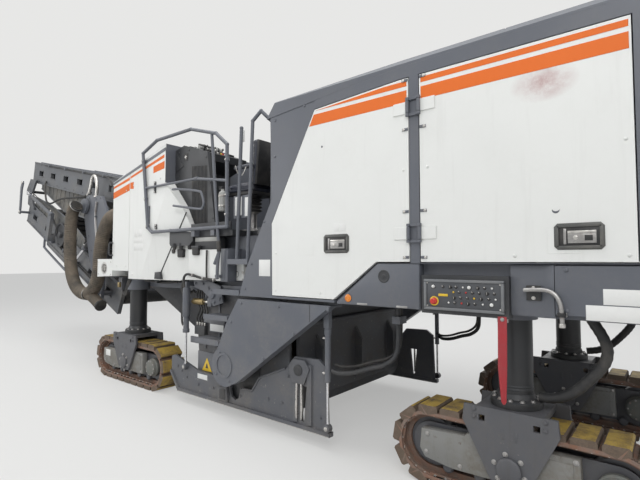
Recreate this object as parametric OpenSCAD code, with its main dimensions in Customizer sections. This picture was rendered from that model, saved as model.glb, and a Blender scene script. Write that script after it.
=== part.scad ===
// Large cold planer milling machine on four lifting tracks, with a folded
// front discharge conveyor. Millimetres, +X to the machine's front, +Y to
// its left, +Z up, origin on the ground under the middle of the whole.

/* [Body] */
// Width across the side doors
body_w = 2500; // [2460:10:2600]
// Height of the main frame's underside
frame_z = 1280; // [1240:10:1330]
// Height of the top of the main frame
frame_top_z = 1610; // [1560:10:1640]
// Height of the seam under the hood's roof
seam_z = 3085; // [3040:5:3200]
// Thickness of the hood's roof
roof_t = 75; // [50:5:110]
// Thickness of doors and side panels
panel_t = 40; // [25:1:50]
// Gap around a door
door_gap = 7; // [6:1:12]
// Place of the hood's rear face
hood_rear_x = -5860; // [-5900:10:-5700]
// Place of the hood's front wall
hood_front_x = -2150; // [-2180:5:-2120]
// Height of the operator's floor
deck_z = 1950; // [1900:10:2000]
// Place of the front body's nose
nose_x = 1035; // [950:5:1060]
// Height of the top of the railing
rail_z = 3050; // [2950:10:3150]

/* [Undercarriage] */
// Place of the rear leg columns
rear_col_x = -4250; // [-4300:10:-4200]
// Distance between the rear and front leg columns
wheelbase = 4900; // [4850:10:4950]
// Distance between the left and right tracks
gauge = 1900; // [1860:10:1920]
// Length of a track over its pads
track_l = 1730; // [1650:5:1760]
// Height of a track over its pads
track_h = 570; // [540:5:590]
// Width of a track's pads
track_w = 300; // [260:5:310]
// Number of pads on a track
pads = 23; // [21:1:25]
// Diameter of the leg tube
leg_d = 220; // [190:5:230]
// Wall of the guide around the leg tube
guide_wall = 34; // [20:1:40]

/* [Milling drum] */
// Place of the drum's axis
drum_x = -1535; // [-1560:5:-1510]
// Height of the drum's axis
drum_z = 610; // [600:5:640]
// Cutting diameter over the picks
cut_d = 980; // [900:10:1000]
// Width of the drum
drum_w = 2000; // [1900:10:2010]
// Picks in one row around the drum
picks_per_turn = 3; // [2:1:4]

/* [Conveyor] */
// Width of the belt
belt_w = 1000; // [900:10:1060]
// Depth of a conveyor's side beam
beam_h = 430; // [380:10:450]
// Thickness of a conveyor's side beam
beam_t = 60; // [40:5:70]
// Length of the inner half ahead of its pivot
inner_l = 4120; // [4000:10:4140]
// Length of the outer half beyond the fold hinge
outer_l = 4010; // [3900:10:4050]
// Slope of the inner half
inner_a = 23.2; // [22:0.1:25]
// Slope of the folded outer half
outer_a = 11.8; // [11:0.1:13]
// Place of the slewing axis
slew_x = 1875; // [1860:5:1900]
// Place of the lift pivot ahead of the slewing axis
lift_dx = 300; // [280:5:340]
// Height of the lift pivot
lift_z = 1100; // [1080:5:1140]

/* [Hidden] */

$fn = 48;
run = 0.3;            // clearance between pieces that touch in the real machine
half = body_w / 2;
front_col_x = rear_col_x + wheelbase;
col_y = gauge / 2;
guide_bore = leg_d + 2 * run;
guide_d = guide_bore + 2 * guide_wall;

// colours
white = [0.86, 0.86, 0.84];
grey = [0.29, 0.32, 0.36];
dark = [0.14, 0.15, 0.16];
steel = [0.45, 0.45, 0.45];
yellow = [0.85, 0.72, 0.2];
rubber = [0.08, 0.08, 0.08];

// helpers
// extrude an (x, z) outline from y0 to y1
module slab(y0, y1) {
  translate([0, y1, 0])
    rotate([90, 0, 0])
      linear_extrude(y1 - y0)
        children();
}

// box from its low corner to its high corner
module box(lo, hi) {
  translate(lo)
    cube([hi[0] - lo[0], hi[1] - lo[1], hi[2] - lo[2]]);
}

module both_sides() {
  children();
  mirror([0, 1, 0])
    children();
}

// straight round bar from a to b
module bar(a, b, d) {
  v = b - a;
  l = norm(v);
  translate(a)
    rotate([0, acos(v[2] / l), atan2(v[1], v[0])])
      cylinder(d = d, h = l);
}

// tube along points, with slightly larger balls at the bends and, with caps, at the ends
module pipe(pts, d, caps = true) {
  for (i = [0 : len(pts) - 2])
    bar(pts[i], pts[i + 1], d, $fn = 24);
  for (i = [0 : len(pts) - 1])
    if (caps || (i > 0 && i < len(pts) - 1))
      translate(pts[i])
        sphere(d = d + 4, $fn = 24);
}

module cyl_y(x, z, d, y0, y1) {
  translate([x, y1, z])
    rotate([90, 0, 0])
      cylinder(d = d, h = y1 - y0);
}

// main frame
beam_in = 620;        // inner face of the frame's side beams
beam_out = half - 70; // outer face of the frame's side beams
rear_end_x = hood_rear_x - 70;
drum_gap_x0 = -2930;  // the frame narrows over the drum between these
drum_gap_x1 = -640;
mid_out = half - 220;
guide_top_z = 2120;
front_beam_out = 862; // outer face of the beams beside the front columns
front_beam_z = 1400;
frame_front_x = nose_x - 60;

module frame_side() {
  slab(beam_in, beam_out)
    polygon([[rear_end_x, frame_z + 60], [rear_end_x + 90, frame_z], [drum_gap_x0, frame_z],
      [drum_gap_x0, frame_top_z], [rear_end_x, frame_top_z]]);
  slab(beam_in, mid_out)
    polygon([[drum_gap_x0 - 1, frame_z], [drum_gap_x1 + 1, frame_z],
      [drum_gap_x1 + 1, deck_z - 60], [drum_gap_x0 - 1, deck_z - 60]]);
  slab(beam_in, front_beam_out)
    polygon([[drum_gap_x1, frame_z], [frame_front_x, frame_z],
      [frame_front_x, front_beam_z - run], [drum_gap_x1, front_beam_z - run]]);
}

module guides() {
  for (x = [rear_col_x, front_col_x])
    translate([x, col_y, frame_z - 40])
      cylinder(d = guide_d, h = guide_top_z - frame_z + 40);
}

module main_frame() {
  color(dark)
    difference() {
      union() {
        both_sides() {
          frame_side();
          guides();
        }
        for (x = [rear_end_x + 60, -4800, -3700, drum_gap_x0 - 60])
          box([x, -beam_in - 1, frame_z + 20], [x + 60, beam_in + 1, frame_top_z - 40]);
        box([rear_end_x + 60, -beam_in - 1, frame_z + 20], [drum_gap_x0, beam_in + 1, frame_z + 40]);
        box([drum_gap_x0, -beam_in - 1, deck_z - 90], [drum_gap_x1, beam_in + 1, deck_z - 60]);
      }
      both_sides()
        for (x = [rear_col_x, front_col_x])
          translate([x, col_y, frame_z - 50])
            cylinder(d = guide_bore, h = guide_top_z - frame_z + 100);
    }
}

// lashing and lifting eyes
eye_d = 60;
eye_t = 40;
eye_r = 70;
eye_off = 100;
eye_y = 820;

// plate standing off the frame's end, dir is 1 at the front and -1 at the rear
module eye(dir) {
  difference() {
    union() {
      cyl_y(0, 0, 2 * eye_r, -eye_t / 2, eye_t / 2);
      box([min(0, -dir * eye_off), -eye_t / 2, -eye_r], [max(0, -dir * eye_off), eye_t / 2, eye_r]);
    }
    cyl_y(0, 0, eye_d, -eye_t, eye_t);
  }
}

module lashing_eyes() {
  color(dark)
    both_sides() {
      translate([rear_end_x - eye_off - run, eye_y, frame_z + 150])
        eye(-1);
      translate([frame_front_x + eye_off + run, eye_y, frame_z + 45])
        eye(1);
    }
}

// drum housing and scraper
wall = 30;
house_y = half - 205; // outer face of the housing's side walls
house_x0 = -2215;
house_x1 = -905;
house_top = frame_z - run;

module housing_outline() {
  polygon([[house_x0, house_top], [house_x1, house_top], [house_x1 + 90, 900], [house_x1 + 40, 420],
    [house_x1 - 70, 320], [house_x0 + 120, 320], [house_x0 - 30, 560], [house_x0 - 30, 1000]]);
}

module drum_housing() {
  color(dark)
    difference() {
      slab(-house_y, house_y)
        housing_outline();
      // the chamber, open below
      slab(-house_y + wall, house_y - wall)
        polygon([[house_x0 + 60, house_top - wall], [house_x1 - 60, house_top - wall],
          [house_x1 + 40, 900], [house_x1 - 5, 430], [house_x1 - 60, 300], [house_x1 - 60, -10],
          [house_x0 - 200, -10], [house_x0 - 200, 960], [house_x0 + 5, 1000]]);
      // way of the milled material to the first conveyor
      box([house_x1 - 200, -460, 290], [house_x1 + 200, 460, 840]);
      // bore for the drum's shaft
      cyl_y(drum_x, drum_z, shaft_out_d + 2 * run, -house_y - 1, house_y + 1);
    }
}

scraper_x = house_x0 - 60;
scraper_z = 1010;
scraper_bottom = 190;

module scraper() {
  color(dark) {
    difference() {
      union() {
        cyl_y(scraper_x, scraper_z, 60, -960, 960);
        slab(-960, 960)
          polygon([[scraper_x - 20, scraper_z], [scraper_x + 20, scraper_z],
            [scraper_x + 20, scraper_bottom + 120], [scraper_x + 60, scraper_bottom],
            [scraper_x + 30, scraper_bottom], [scraper_x - 20, scraper_bottom + 100]]);
        for (y = [-700, 0, 700])
          slab(y - 15, y + 15)
            polygon([[scraper_x - 20, 900], [scraper_x - 110, 760], [scraper_x - 110, 520],
              [scraper_x - 20, 330]]);
      }
      cyl_y(scraper_x, scraper_z, 32, -1000, 1000);
    }
  }
}

// milling drum
core_d = cut_d - 220;
shaft_out_d = 140;

module pick() {
  // holder and conical pick, standing along +Z at the core
  translate([-40, -22, -15])
    cube([80, 44, 60]);
  translate([0, 0, 30])
    rotate([0, 38, 0])
      cylinder(d1 = 40, d2 = 12, h = 92, $fn = 16);
}

pick_rows = 18;
pick_pitch = (drum_w - 80) / (pick_rows - 1);

module milling_drum() {
  color(steel)
    translate([drum_x, 0, drum_z])
      difference() {
        union() {
          rotate([90, 0, 0])
            cylinder(d = core_d, h = drum_w - 50, center = true, $fn = 72);
          rotate([90, 0, 0])
            cylinder(d = shaft_out_d, h = 2 * house_y - 12, center = true);
          // rows of picks in two spirals that meet in the middle
          for (r = [0 : pick_rows - 1], k = [0 : picks_per_turn - 1]) {
            y = -drum_w / 2 + 40 + r * pick_pitch;
            a = k * 360 / picks_per_turn + 25 * abs(r - (pick_rows - 1) / 2);
            translate([0, y, 0])
              rotate([0, a, 0])
                translate([0, 0, core_d / 2])
                  pick();
          }
        }
        rotate([90, 0, 0])
          cylinder(d = 90, h = 2 * house_y + 10, center = true);
      }
}

// belt cover on the left and bearing cover on the right
cover_in = house_y + 100;
nose_r = 195;

module cover_outline() {
  polygon([[-2890, frame_z - 25], [-1740, frame_z - 25], [-1565, 1000], [-1365, 600], [-1365, 500],
    [-1450, 400], [drum_x, 365], [-1725, 430]]);
  translate([drum_x, 560])
    circle(r = nose_r);
}

module belt_cover() {
  color(grey) {
    slab(cover_in, half)
      cover_outline();
    slab(half, half + 8)
      translate([drum_x, 575])
        difference() {
          circle(r = 125);
          circle(r = 100);
        }
    slab(-half, -cover_in)
      cover_outline();
    both_sides() {
      // drive end over the drum's shaft, and the brackets on the housing
      cyl_y(drum_x, drum_z, 100, house_y - 3, cover_in + 1);
      box([-2200, house_y + run, frame_z - 100], [-1800, cover_in + 1, frame_z - 30]);
    }
  }
}

// side plates
plate_y0 = house_y + 25;
plate_y1 = house_y + 55;
plate_x0 = -2745;
plate_x1 = -395;
plate_bottom = 142;

module side_plate() {
  difference() {
    union() {
      slab(plate_y0, plate_y1)
        polygon([[plate_x0, plate_bottom], [plate_x1 - 150, plate_bottom], [plate_x1, 330],
          [plate_x1, 500], [plate_x1 - 60, 520], [-900, 400], [-1280, 390], [-1300, 330], [-1790, 330],
          [-1900, 480], [-2250, 620], [-2360, 750], [-2640, 760], [plate_x0 + 20, 700]]);
      // sliding shoe along the lower edge
      slab(plate_y0 - 8, plate_y1 + 22)
        polygon([[plate_x0 - 30, plate_bottom - 22], [plate_x1 - 150, plate_bottom - 22],
          [plate_x1 + 8, 325], [plate_x1 - 12, 345], [plate_x1 - 165, plate_bottom + 16],
          [plate_x0 - 30, plate_bottom + 16]]);
      // ears for the lift rods
      for (e = ear_table)
        slab(plate_y1 - 1, plate_y1 + 40)
          translate([e[0], e[1]])
            circle(d = 70);
      // cheeks beside the guide slot
      for (x = [-2545, -2375])
        slab(plate_y1 - 1, plate_y1 + 14)
          polygon([[x - 26, 170], [x + 26, 170], [x + 26, 700], [x - 26, 700]]);
    }
    slab(plate_y0 - 20, plate_y1 + 60)
      polygon([[-2475, 185], [-2445, 185], [-2415, 500], [-2505, 500]]);
    // room for the drum's drive end when the plate is lifted
    slab(plate_y0 - 20, plate_y1 + 60)
      polygon([[drum_x - 75, 290], [drum_x - 55, 225], [drum_x, 195], [drum_x + 55, 225],
        [drum_x + 75, 290], [drum_x + 75, 600], [drum_x - 75, 600]]);
    for (e = ear_table)
      cyl_y(e[0], e[1], 32, plate_y0 - 20, plate_y1 + 60);
  }
}

// lift rods of a side plate: columns x, z of the ear, z of the gland, z of the top, barrel diameter
ear_table = [
  [plate_x0 - 15, 200, 600, 1050, 50],
  [-700, 420, 820, 1330, 64]
];
ram_y = plate_y1 + 20;

module plate_cylinders() {
  color(dark)
    both_sides()
      for (e = ear_table) {
        difference() {
          translate([e[0], ram_y, e[2]])
            cylinder(d = e[4], h = e[3] - e[2]);
          translate([e[0], ram_y, e[2] - 1])
            cylinder(d = 26, h = e[3] - e[2] - 30);
        }
        // bracket on the frame
        box([e[0] - 28, ram_y - 22, e[3] - 1], [e[0] + 28, ram_y + 22, max(e[3] + 60, frame_z - run)]);
        box([e[0] - 28, e[3] > frame_z ? mid_out + run : mid_out - 80, max(e[3] + 10, frame_z - 60)],
          [e[0] + 28, ram_y, max(e[3] + 60, frame_z - run)]);
      }
}

module plate_rods() {
  for (e = ear_table) {
    translate([e[0], ram_y, e[1] + 20])
      cylinder(d = 24, h = e[2] - e[1] + 30);
  }
}

module side_plate_left() {
  color(grey) {
    side_plate();
    plate_rods();
  }
}

module side_plate_right() {
  mirror([0, 1, 0])
    side_plate_left();
}

// engine hood
post_x0 = -3695;
post_x1 = -3620;
rear_door_x0 = -4970;
door_z0 = 1622;
door_z1 = seam_z - 100;
slope_x = -3540;      // the roof starts to fall ahead of here
front_seam_z = seam_z - 115;

// outline of the front door: corners x, z
front_door = [[post_x1 + door_gap, door_z0], [-3329, door_z0], [-2917, frame_z + 33],
  [-2215, frame_z + 33], [-2205, 1973], [-2718, door_z1 - 48], [-3540, door_z1],
  [post_x1 + door_gap, door_z1]];
rear_door = [[rear_door_x0, door_z0], [post_x0 - door_gap, door_z0], [post_x0 - door_gap, door_z1],
  [rear_door_x0, door_z1]];

function seam_at(x) = x < slope_x ? seam_z
  : seam_z - (seam_z - front_seam_z) * (x - slope_x) / (hood_front_x - slope_x);
split_x = -2720;      // the dark front plate starts here, above the door

module seam_outline() {
  // hood's side view up to the roof seam
  polygon([[hood_rear_x, frame_top_z + run], [post_x1 + 290, frame_top_z + run],
    [-2917 - 12, frame_z + 15], [hood_front_x, frame_z + 15], [hood_front_x, front_seam_z],
    [slope_x, seam_z], [hood_rear_x + 120, seam_z], [hood_rear_x, seam_z - 90]]);
}

module hood_shell() {
  skin = 30;
  color(grey)
    both_sides()
      difference() {
        slab(half - skin, half)
          difference() {
            seam_outline();
            offset(delta = door_gap)
              polygon(rear_door);
            offset(delta = door_gap)
              polygon(front_door);
            // nothing is left below the front door
            polygon([[post_x1, frame_z], [post_x1, door_z0 + 1], [-3329, door_z0 + 1],
              [-2917, frame_z + 34], [-2917, frame_z]]);
            // the dark front plate takes the place ahead of the front door
            polygon([[-2935, frame_z], [-2935, frame_z + 33], [-2700, 2200],
              [split_x - run, door_z1 - 60], [split_x - run, seam_z], [hood_front_x + 1, seam_z],
              [hood_front_x + 1, frame_z]]);
          }
        side_vents();
      }
  // posts and rails inside the skin
  color(dark)
    both_sides() {
      box([post_x0 + 8, half - 110, frame_top_z + run], [post_x1 - 8, half - 30, seam_z]);
      box([rear_door_x0 - 90, half - 110, frame_top_z + run], [rear_door_x0 - 30, half - 30, seam_z]);
      box([hood_rear_x + 130, half - 90, seam_z - 50], [slope_x, half - 30, seam_z]);
    }
  color(dark)
    for (x = [rear_door_x0 - 90, post_x0 + 8])
      box([x, -half + 31, seam_z - 60], [x + 59, half - 31, seam_z]);
  color(dark)
    both_sides()
      hinge_pins();
}

module side_vents() {
  for (i = [0 : 9])
    box([hood_rear_x + 170, half - 60, 2010 + i * 80], [rear_door_x0 - 160, half + 10, 2045 + i * 80]);
}

// door hinges: height of each knuckle's middle
hinge_z = [1830, 2760];
hinge_y = half + 16;
knuckle_d = 28;
knuckle_h = 90;

module hinge_pins() {
  for (z = hinge_z, x = [post_x0 - door_gap, post_x1 + door_gap]) {
    translate([x, hinge_y, z - knuckle_h / 2 - 24])
      cylinder(d = 14, h = knuckle_h + 48, $fn = 24);
    for (s = [-1, 1])
      translate([min(x, (post_x0 + post_x1) / 2), half - 1, z + s * (knuckle_h / 2 + 14) - 10])
        cube([abs(x - (post_x0 + post_x1) / 2), 17, 20]);
    for (s = [-1, 1])
      translate([x, hinge_y, z + s * (knuckle_h / 2 + 14) - 10])
        cylinder(d = knuckle_d, h = 20, $fn = 24);
  }
}

module door_hinges(x, dir) {
  for (z = hinge_z)
    difference() {
      union() {
        translate([x, hinge_y, z - knuckle_h / 2])
          cylinder(d = knuckle_d, h = knuckle_h, $fn = 24);
        box([min(x, x + dir * 120), half - 1, z - knuckle_h / 2],
          [max(x, x + dir * 120), half + 7, z + knuckle_h / 2]);
      }
      translate([x, hinge_y, z - knuckle_h])
        cylinder(d = 15, h = 2 * knuckle_h, $fn = 24);
    }
}

module door(outline, hx, dir, latch) {
  color(white)
    difference() {
      slab(half - panel_t, half)
        polygon(outline);
      // folded inner side: the skin is thinner inside its rim
      slab(half - panel_t - 1, half - 6)
        offset(delta = -60)
          polygon(outline);
      box([latch[0], half - 5, latch[1]], [latch[0] + 150, half + 1, latch[1] + 110]);
    }
  color(dark) {
    box([latch[0] + 20, half - 8, latch[1] + 20], [latch[0] + 130, half - 1, latch[1] + 90]);
    door_hinges(hx, dir);
  }
}

module door_rear_left() {
  door(rear_door, post_x0 - door_gap, -1, [rear_door_x0 + 280, 1690]);
}

module door_front_left() {
  door(front_door, post_x1 + door_gap, 1, [-2700, 1690]);
}

module door_rear_right() {
  mirror([0, 1, 0])
    door_rear_left();
}

module door_front_right() {
  mirror([0, 1, 0])
    door_front_left();
}

module hood_front() {
  // dark side plate ahead of the front door, and the wall behind the operator
  color(grey) {
    both_sides()
      difference() {
        slab(half - 50, half - 4)
          polygon([[-2925, frame_z + 6], [-1755, frame_z + 6], [-1771, 1335], [-1860, 1570],
            [-2195, 2200], [hood_front_x - 25, seam_at(hood_front_x - 25)], [split_x, seam_at(split_x)],
            [split_x, 2200], [-2900, 1500]]);
        slab(half - 60, half + 10)
          offset(delta = door_gap)
            polygon(front_door);
      }
    box([hood_front_x - 60, -half + 49, deck_z - 60 + run], [hood_front_x - 20, half - 49, front_seam_z]);
  }
}

module hood_roof() {
  color(grey)
    difference() {
      intersection() {
        slab(-half, half)
          polygon([[hood_rear_x, seam_z - 90 + run], [hood_rear_x + 120, seam_z + run],
            [slope_x, seam_z + run], [hood_front_x + 20, front_seam_z + run],
            [hood_front_x - 90, front_seam_z + roof_t + 70], [slope_x, seam_z + roof_t],
            [hood_rear_x + 160, seam_z + roof_t], [hood_rear_x + 20, seam_z - 20]]);
        translate([hood_rear_x - 10, 0, 0])
          rotate([90, 0, 90])
            linear_extrude(4000)
              polygon([[-half, 2500], [half, 2500], [half, seam_z + 20], [half - 60, seam_z + roof_t],
                [half - 62, 3400], [-half + 62, 3400], [-half + 60, seam_z + roof_t],
                [-half, seam_z + 20]]);
      }
      for (x = [-5300, -4300, -3400])
        box([x, -half - 1, seam_z + roof_t - 8], [x + 12, half + 1, seam_z + roof_t + 60]);
    }
}

module rear_grille() {
  color(grey)
    difference() {
      box([hood_rear_x + 1, -half + 30 + run, frame_top_z + run],
        [hood_rear_x + 60, half - 30 - run, seam_z - 92]);
      for (i = [0 : 11])
        box([hood_rear_x - 10, -900, 1800 + i * 92], [hood_rear_x + 90, 900, 1800 + i * 92 + 55]);
    }
  color(dark)
    box([hood_rear_x + 59, -950, 1720], [hood_rear_x + 240, 950, 2930]);
}

module engine_block() {
  color(steel) {
    box([-4780, -430, frame_top_z - 40 + run], [-2950, 430, 2350]);
    box([-4600, -330, 2349], [-3100, 330, 2620]);
    for (x = [-4500, -3200], s = [-1, 1])
      box([x, min(s * 429, s * (beam_in + 40)), frame_top_z + run],
        [x + 140, max(s * 429, s * (beam_in + 40)), frame_top_z + 110]);
  }
}

// front body
body_x0 = -430;       // rear face, the side skins reach further back
skin_x0 = -862;
body_top_rear = 2974;
body_top_front = 2641;
body_step_x = 378;    // the underside is lower behind this seam
cover_t = 50;         // dark cover on the sloping top
skin_in = half - 132; // inner faces of the side skins beside the platform

// side view of the front body
module body_outline() {
  polygon([[skin_x0, front_beam_z + 12], [-640, front_beam_z + 12], [-640, front_beam_z],
    [body_step_x, front_beam_z], [body_step_x, 1500], [nose_x - 20, 1500], [nose_x, 1900],
    [nose_x - 60, 2420], [nose_x - 140, body_top_front], [body_x0, body_top_rear],
    [body_x0, 2557], [-702, 2261], [skin_x0, 1999]]);
}

// plan view of the front body with the cut corners of the nose
module body_plan() {
  polygon([[skin_x0 - 10, -half], [nose_x - 220, -half], [nose_x - 30, -half + 260],
    [nose_x, -half + 420], [nose_x, half - 420], [nose_x - 30, half - 260], [nose_x - 220, half],
    [skin_x0 - 10, half]]);
}

// space outside the rear part of a side, which is folded inwards along a slanted line
module beside_facet(gap) {
  translate([-449, half, 2453])
    rotate([0, 62.57, 0])
      rotate([-8, 0, 0])
        translate([-2000, gap, -2000])
          cube([4000, 500, 2000]);
}

module front_body() {
  color(white)
    difference() {
      intersection() {
        slab(-half, half)
          body_outline();
        translate([0, 0, 1000])
          linear_extrude(2500)
            body_plan();
      }
      both_sides()
        beside_facet(0);
      // foot space of the platform between the side skins
      box([skin_x0 - 10, -skin_in, 1300], [body_x0, skin_in, 3000]);
      // room for the leg guides and the first conveyor
      both_sides()
        translate([front_col_x, col_y, 1300])
          cylinder(d = guide_d + 10, h = guide_top_z - 1290);
      slab(-520, 520)
        polygon([[body_x0 - 10, 1200], [nose_x + 50, 1200], [nose_x + 50, 2080], [body_x0 - 10, 1660]]);
      // pockets of the nose carrier and the headlamps
      box([nose_x - 200, -480 - run, slew_z0 - 60 - run], [nose_x + 10, 480 + run, slew_z1 + 50 + run]);
      both_sides()
        box([nose_x - 60, 690, 1630], [nose_x + 10, 870, 1770]);
      // panel seam
      both_sides()
        box([body_step_x, half - 8, 1300], [body_step_x + 8, half + 1, 3000]);
    }
  // dark cover along the sloping top
  color(dark)
    slab(-half + 6, half - 6)
      polygon([[body_x0, body_top_rear - 1], [nose_x - 190, body_top_front + 12],
        [nose_x - 200, body_top_front + cover_t], [body_x0, body_top_rear + cover_t]]);
  // lower side panels under the platform, bent inwards to the front body
  color(white)
    both_sides()
      lower_panel();
}

module lower_panel() {
  difference() {
    slab(mid_out + run, half - 38)
      polygon([[skin_x0 - run, front_beam_z + 20], [-1473, front_beam_z + 20], [-1500, 1460],
        [-1530, 1750], [skin_x0 - run, 1750]]);
    box([-1480, mid_out + 40, front_beam_z], [skin_x0 - 30, half - 60, 1730]);
  }
}

// operator platform
platform_half = half - 51;

module platform() {
  color(dark)
    difference() {
      union() {
        box([hood_front_x - 20 + run, -platform_half, deck_z - 60 + run],
          [skin_x0 - 20, platform_half, deck_z]);
        box([skin_x0 - 21, -skin_in + 2, deck_z - 60 + run], [body_x0 - run, skin_in - 2, deck_z]);
        // toe boards
        both_sides()
          box([-1560, platform_half - 12, deck_z - 1], [skin_x0 - 20, platform_half, deck_z + 90]);
      }
      // way up from the ladders
      both_sides()
        box([-1960, platform_half - 260, deck_z - 80], [-1590, platform_half + 1, deck_z + 10]);
    }
  both_sides()
    step_bracket();
}

// box on the front body's side under the railing, with rubber buffers below
buffer_x = [-600, -710, -850];

module step_bracket() {
  color(dark)
    intersection() {
      slab(skin_in + 20, half - 26)
        polygon([[-950, 1850], [-880, 1800], [-520, 1800], [-497, 1830], [-497, 2005], [-950, 1940]]);
      union() {
        beside_facet(run);
        box([-1000, 0, 1700], [skin_x0 - run, half, 2100]);
      }
    }
  color(rubber)
    for (x = buffer_x)
      translate([x, half - 28 + (x + 600) / 8, 1760])
        cylinder(d1 = 42, d2 = 56, h = 70);
}

module operator_desks() {
  color(dark)
    both_sides() {
      // cabinet behind the ladder head
      box([hood_front_x - 20 + run, 250, deck_z + run], [hood_front_x + 220, 900, deck_z + 780]);
      // console at the front wall, leaning back to the operator
      slab(480, wing_in + 1)
        polygon([[body_x0 - run, deck_z + run], [body_x0 - run, 2960], [body_x0 - 230, 2990],
          [body_x0 - 560, 2870], [body_x0 - 540, 2790], [body_x0 - 260, 2700],
          [body_x0 - 220, deck_z + run]]);
      // tall wing beside the console
      slab(wing_in, skin_in - 4)
        polygon([[-1205, deck_z + run], [-1205, 1983], [-1067, 2743], [-1046, 2858], [-603, 2999],
          [body_x0 - run, 2960], [body_x0 - run, deck_z + run]]);
    }
}

wing_in = skin_in - 46;

module seats() {
  color(rubber)
    both_sides() {
      translate([-1420, 760, deck_z + run]) {
        cylinder(d = 90, h = 420);
        cylinder(d = 300, h = 20);
        box([-230, -230, 419], [230, 230, 520]);
        slab(-220, 220)
          polygon([[-250, 480], [-150, 480], [-190, 1000], [-270, 990]]);
      }
    }
}

rail_d = 38;
rail_y = half + 23;
rail_x0 = -1590;
rail_top = rail_z + 41;
mid_rail_z = 2525;

module railings() {
  color(grey)
    both_sides() {
      pipe([[rail_x0, rail_y, 1975], [rail_x0 + 8, rail_y, 2820], [rail_x0 + 190, rail_y, 2966],
        [-962, rail_y, rail_top], [-277, rail_y, rail_top - 8], [35, rail_y, 2971]], rail_d);
      pipe([[35, rail_y, 2971], [-102, rail_y, 2032], [-202, rail_y, 1975], [rail_x0, rail_y, 1975]],
        rail_d, false);
      // middle rail in two lengths joined by a sleeve
      bar([rail_x0 + 4, rail_y, 2447], [-1060, rail_y, mid_rail_z], rail_d - 8, $fn = 24);
      bar([-1090, rail_y, mid_rail_z], [-30, rail_y, mid_rail_z], rail_d - 10, $fn = 24);
      bar([-1100, rail_y, mid_rail_z], [-1040, rail_y, mid_rail_z], rail_d, $fn = 24);
      pipe([[-1330, rail_y, 2988], [-1471, rail_y, 1721], [-1400, rail_y, 1597]], rail_d - 5, false);
      // brackets on the platform's edge and on the front body's side
      for (x = [-1380, -1040])
        box([x, platform_half + run, deck_z - 55], [x + 60, rail_y - 4, deck_z + 45]);
      box([-110, half + run, 2080], [-50, rail_y - 2, 2300]);
    }
}

// ladder treads: columns x of the rear end, x of the front end, z of the top
treads = [
  [-1437, -1020, 800],
  [-1572, -1180, 1060],
  [-1745, -1330, 1330],
  [-1866, -1560, 1640]
];

module ladders() {
  color(grey)
    both_sides() {
      for (t = treads)
        box([t[0], t[2] > frame_z ? mid_out + run : house_y + run, t[2] - 36], [t[1], half - 10, t[2]]);
      // hand rails up to the platform
      pipe([[-1840, half - 34, 1620], [-1900, half - 34, rail_z - 40], [-1990, half - 60, rail_z + 50],
        [-2080, half - 130, rail_z - 60], [-2080, half - 130, deck_z + 30]], 36);
      pipe([[-1680, half - 34, 1620], [-1735, half - 34, rail_z - 80]], 36);
    }
}

module control_boxes() {
  color(grey)
    both_sides() {
      box([-4300, beam_out + run, frame_z - 16], [-3705, half, frame_z + 250]);
    }
  color(dark)
    both_sides()
      box([-4262, half, frame_z + 24], [-3743, half + 12, frame_z + 210]);
}

port_x = -3185;

module side_panels() {
  color(white)
    both_sides() {
      difference() {
        slab(beam_out + run, half - 10)
          polygon([[-3690, frame_z], [-2950, frame_z], [-2950, frame_z + 20], [-3340, frame_top_z],
            [-3690, frame_top_z]]);
        cyl_y(port_x, frame_z + 102, 130, half - 60, half + 20);
      }
      slab(beam_out + run, half - 6)
        polygon([[rear_end_x + 2, frame_z + 30], [-4560, frame_z + 30], [-4560, frame_top_z - 10],
          [rear_end_x + 2, frame_top_z - 10]]);
      cyl_y(port_x, frame_z + 102, 120, beam_out + run, half - 4);
    }
}

// first conveyor, from the drum to the slewing axis
module first_outline(t) {
  polygon([[-870, 430 + t], [-700, 380 + t], [1750, 1500 + t], [1750, 1880 - t], [-870, 800 - t]]);
}

module primary_conveyor() {
  color(dark) {
    both_sides()
      slab(420, 450)
        first_outline(0);
    for (p = [[-650, 480], [1620, 1600]])
      cyl_y(p[0], p[1] + 60, 180, -419.7, 419.7);
    slab(-420 + run, 420 - run)
      polygon([[-640, 655], [-600, 640], [1600, 1755], [1600, 1775]]);
    for (x = [-300, 400, 1100])
      translate([x, 0, 530 + (x + 870) * 0.457])
        box([-25, -421, -60], [25, 421, -20]);
    // hangers on the frame's inner faces
    both_sides()
      box([860, 449, frame_z + 10], [930, beam_in - run, frame_z + 80]);
  }
}

// slewing bracket on the frame and slewing frame
boss_d = 260;
slew_z0 = 2110;
slew_z1 = 2420;

// nose carrier above the first conveyor with the two lugs of the slewing axis
module slew_bracket() {
  color(grey)
    difference() {
      union() {
        slab(-480, 480)
          polygon([[nose_x - 200 + run, slew_z0 - 60], [nose_x + 120, slew_z0 - 60],
            [nose_x + 120, slew_z1 + 50], [nose_x - 200 + run, slew_z1 + 50]]);
        for (z = [slew_z0 - 60, slew_z1])
          translate([0, 0, z])
            linear_extrude(50) {
              translate([slew_x, 0])
                circle(d = boss_d);
              polygon([[nose_x + 110, -420], [slew_x + 20, -boss_d / 2], [slew_x + 20, boss_d / 2],
                [nose_x + 110, 420]]);
            }
      }
      slab(-430, 430)
        polygon([[nose_x - 160, slew_z0 - 10], [nose_x + 300, slew_z0 - 10], [nose_x + 300, slew_z1],
          [nose_x - 160, slew_z1]]);
      translate([slew_x, 0, slew_z0 - 100])
        cylinder(d = 108 + 2 * run, h = 600);
    }
}

arm_x = slew_x + 260;
arm_y = 740;

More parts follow.
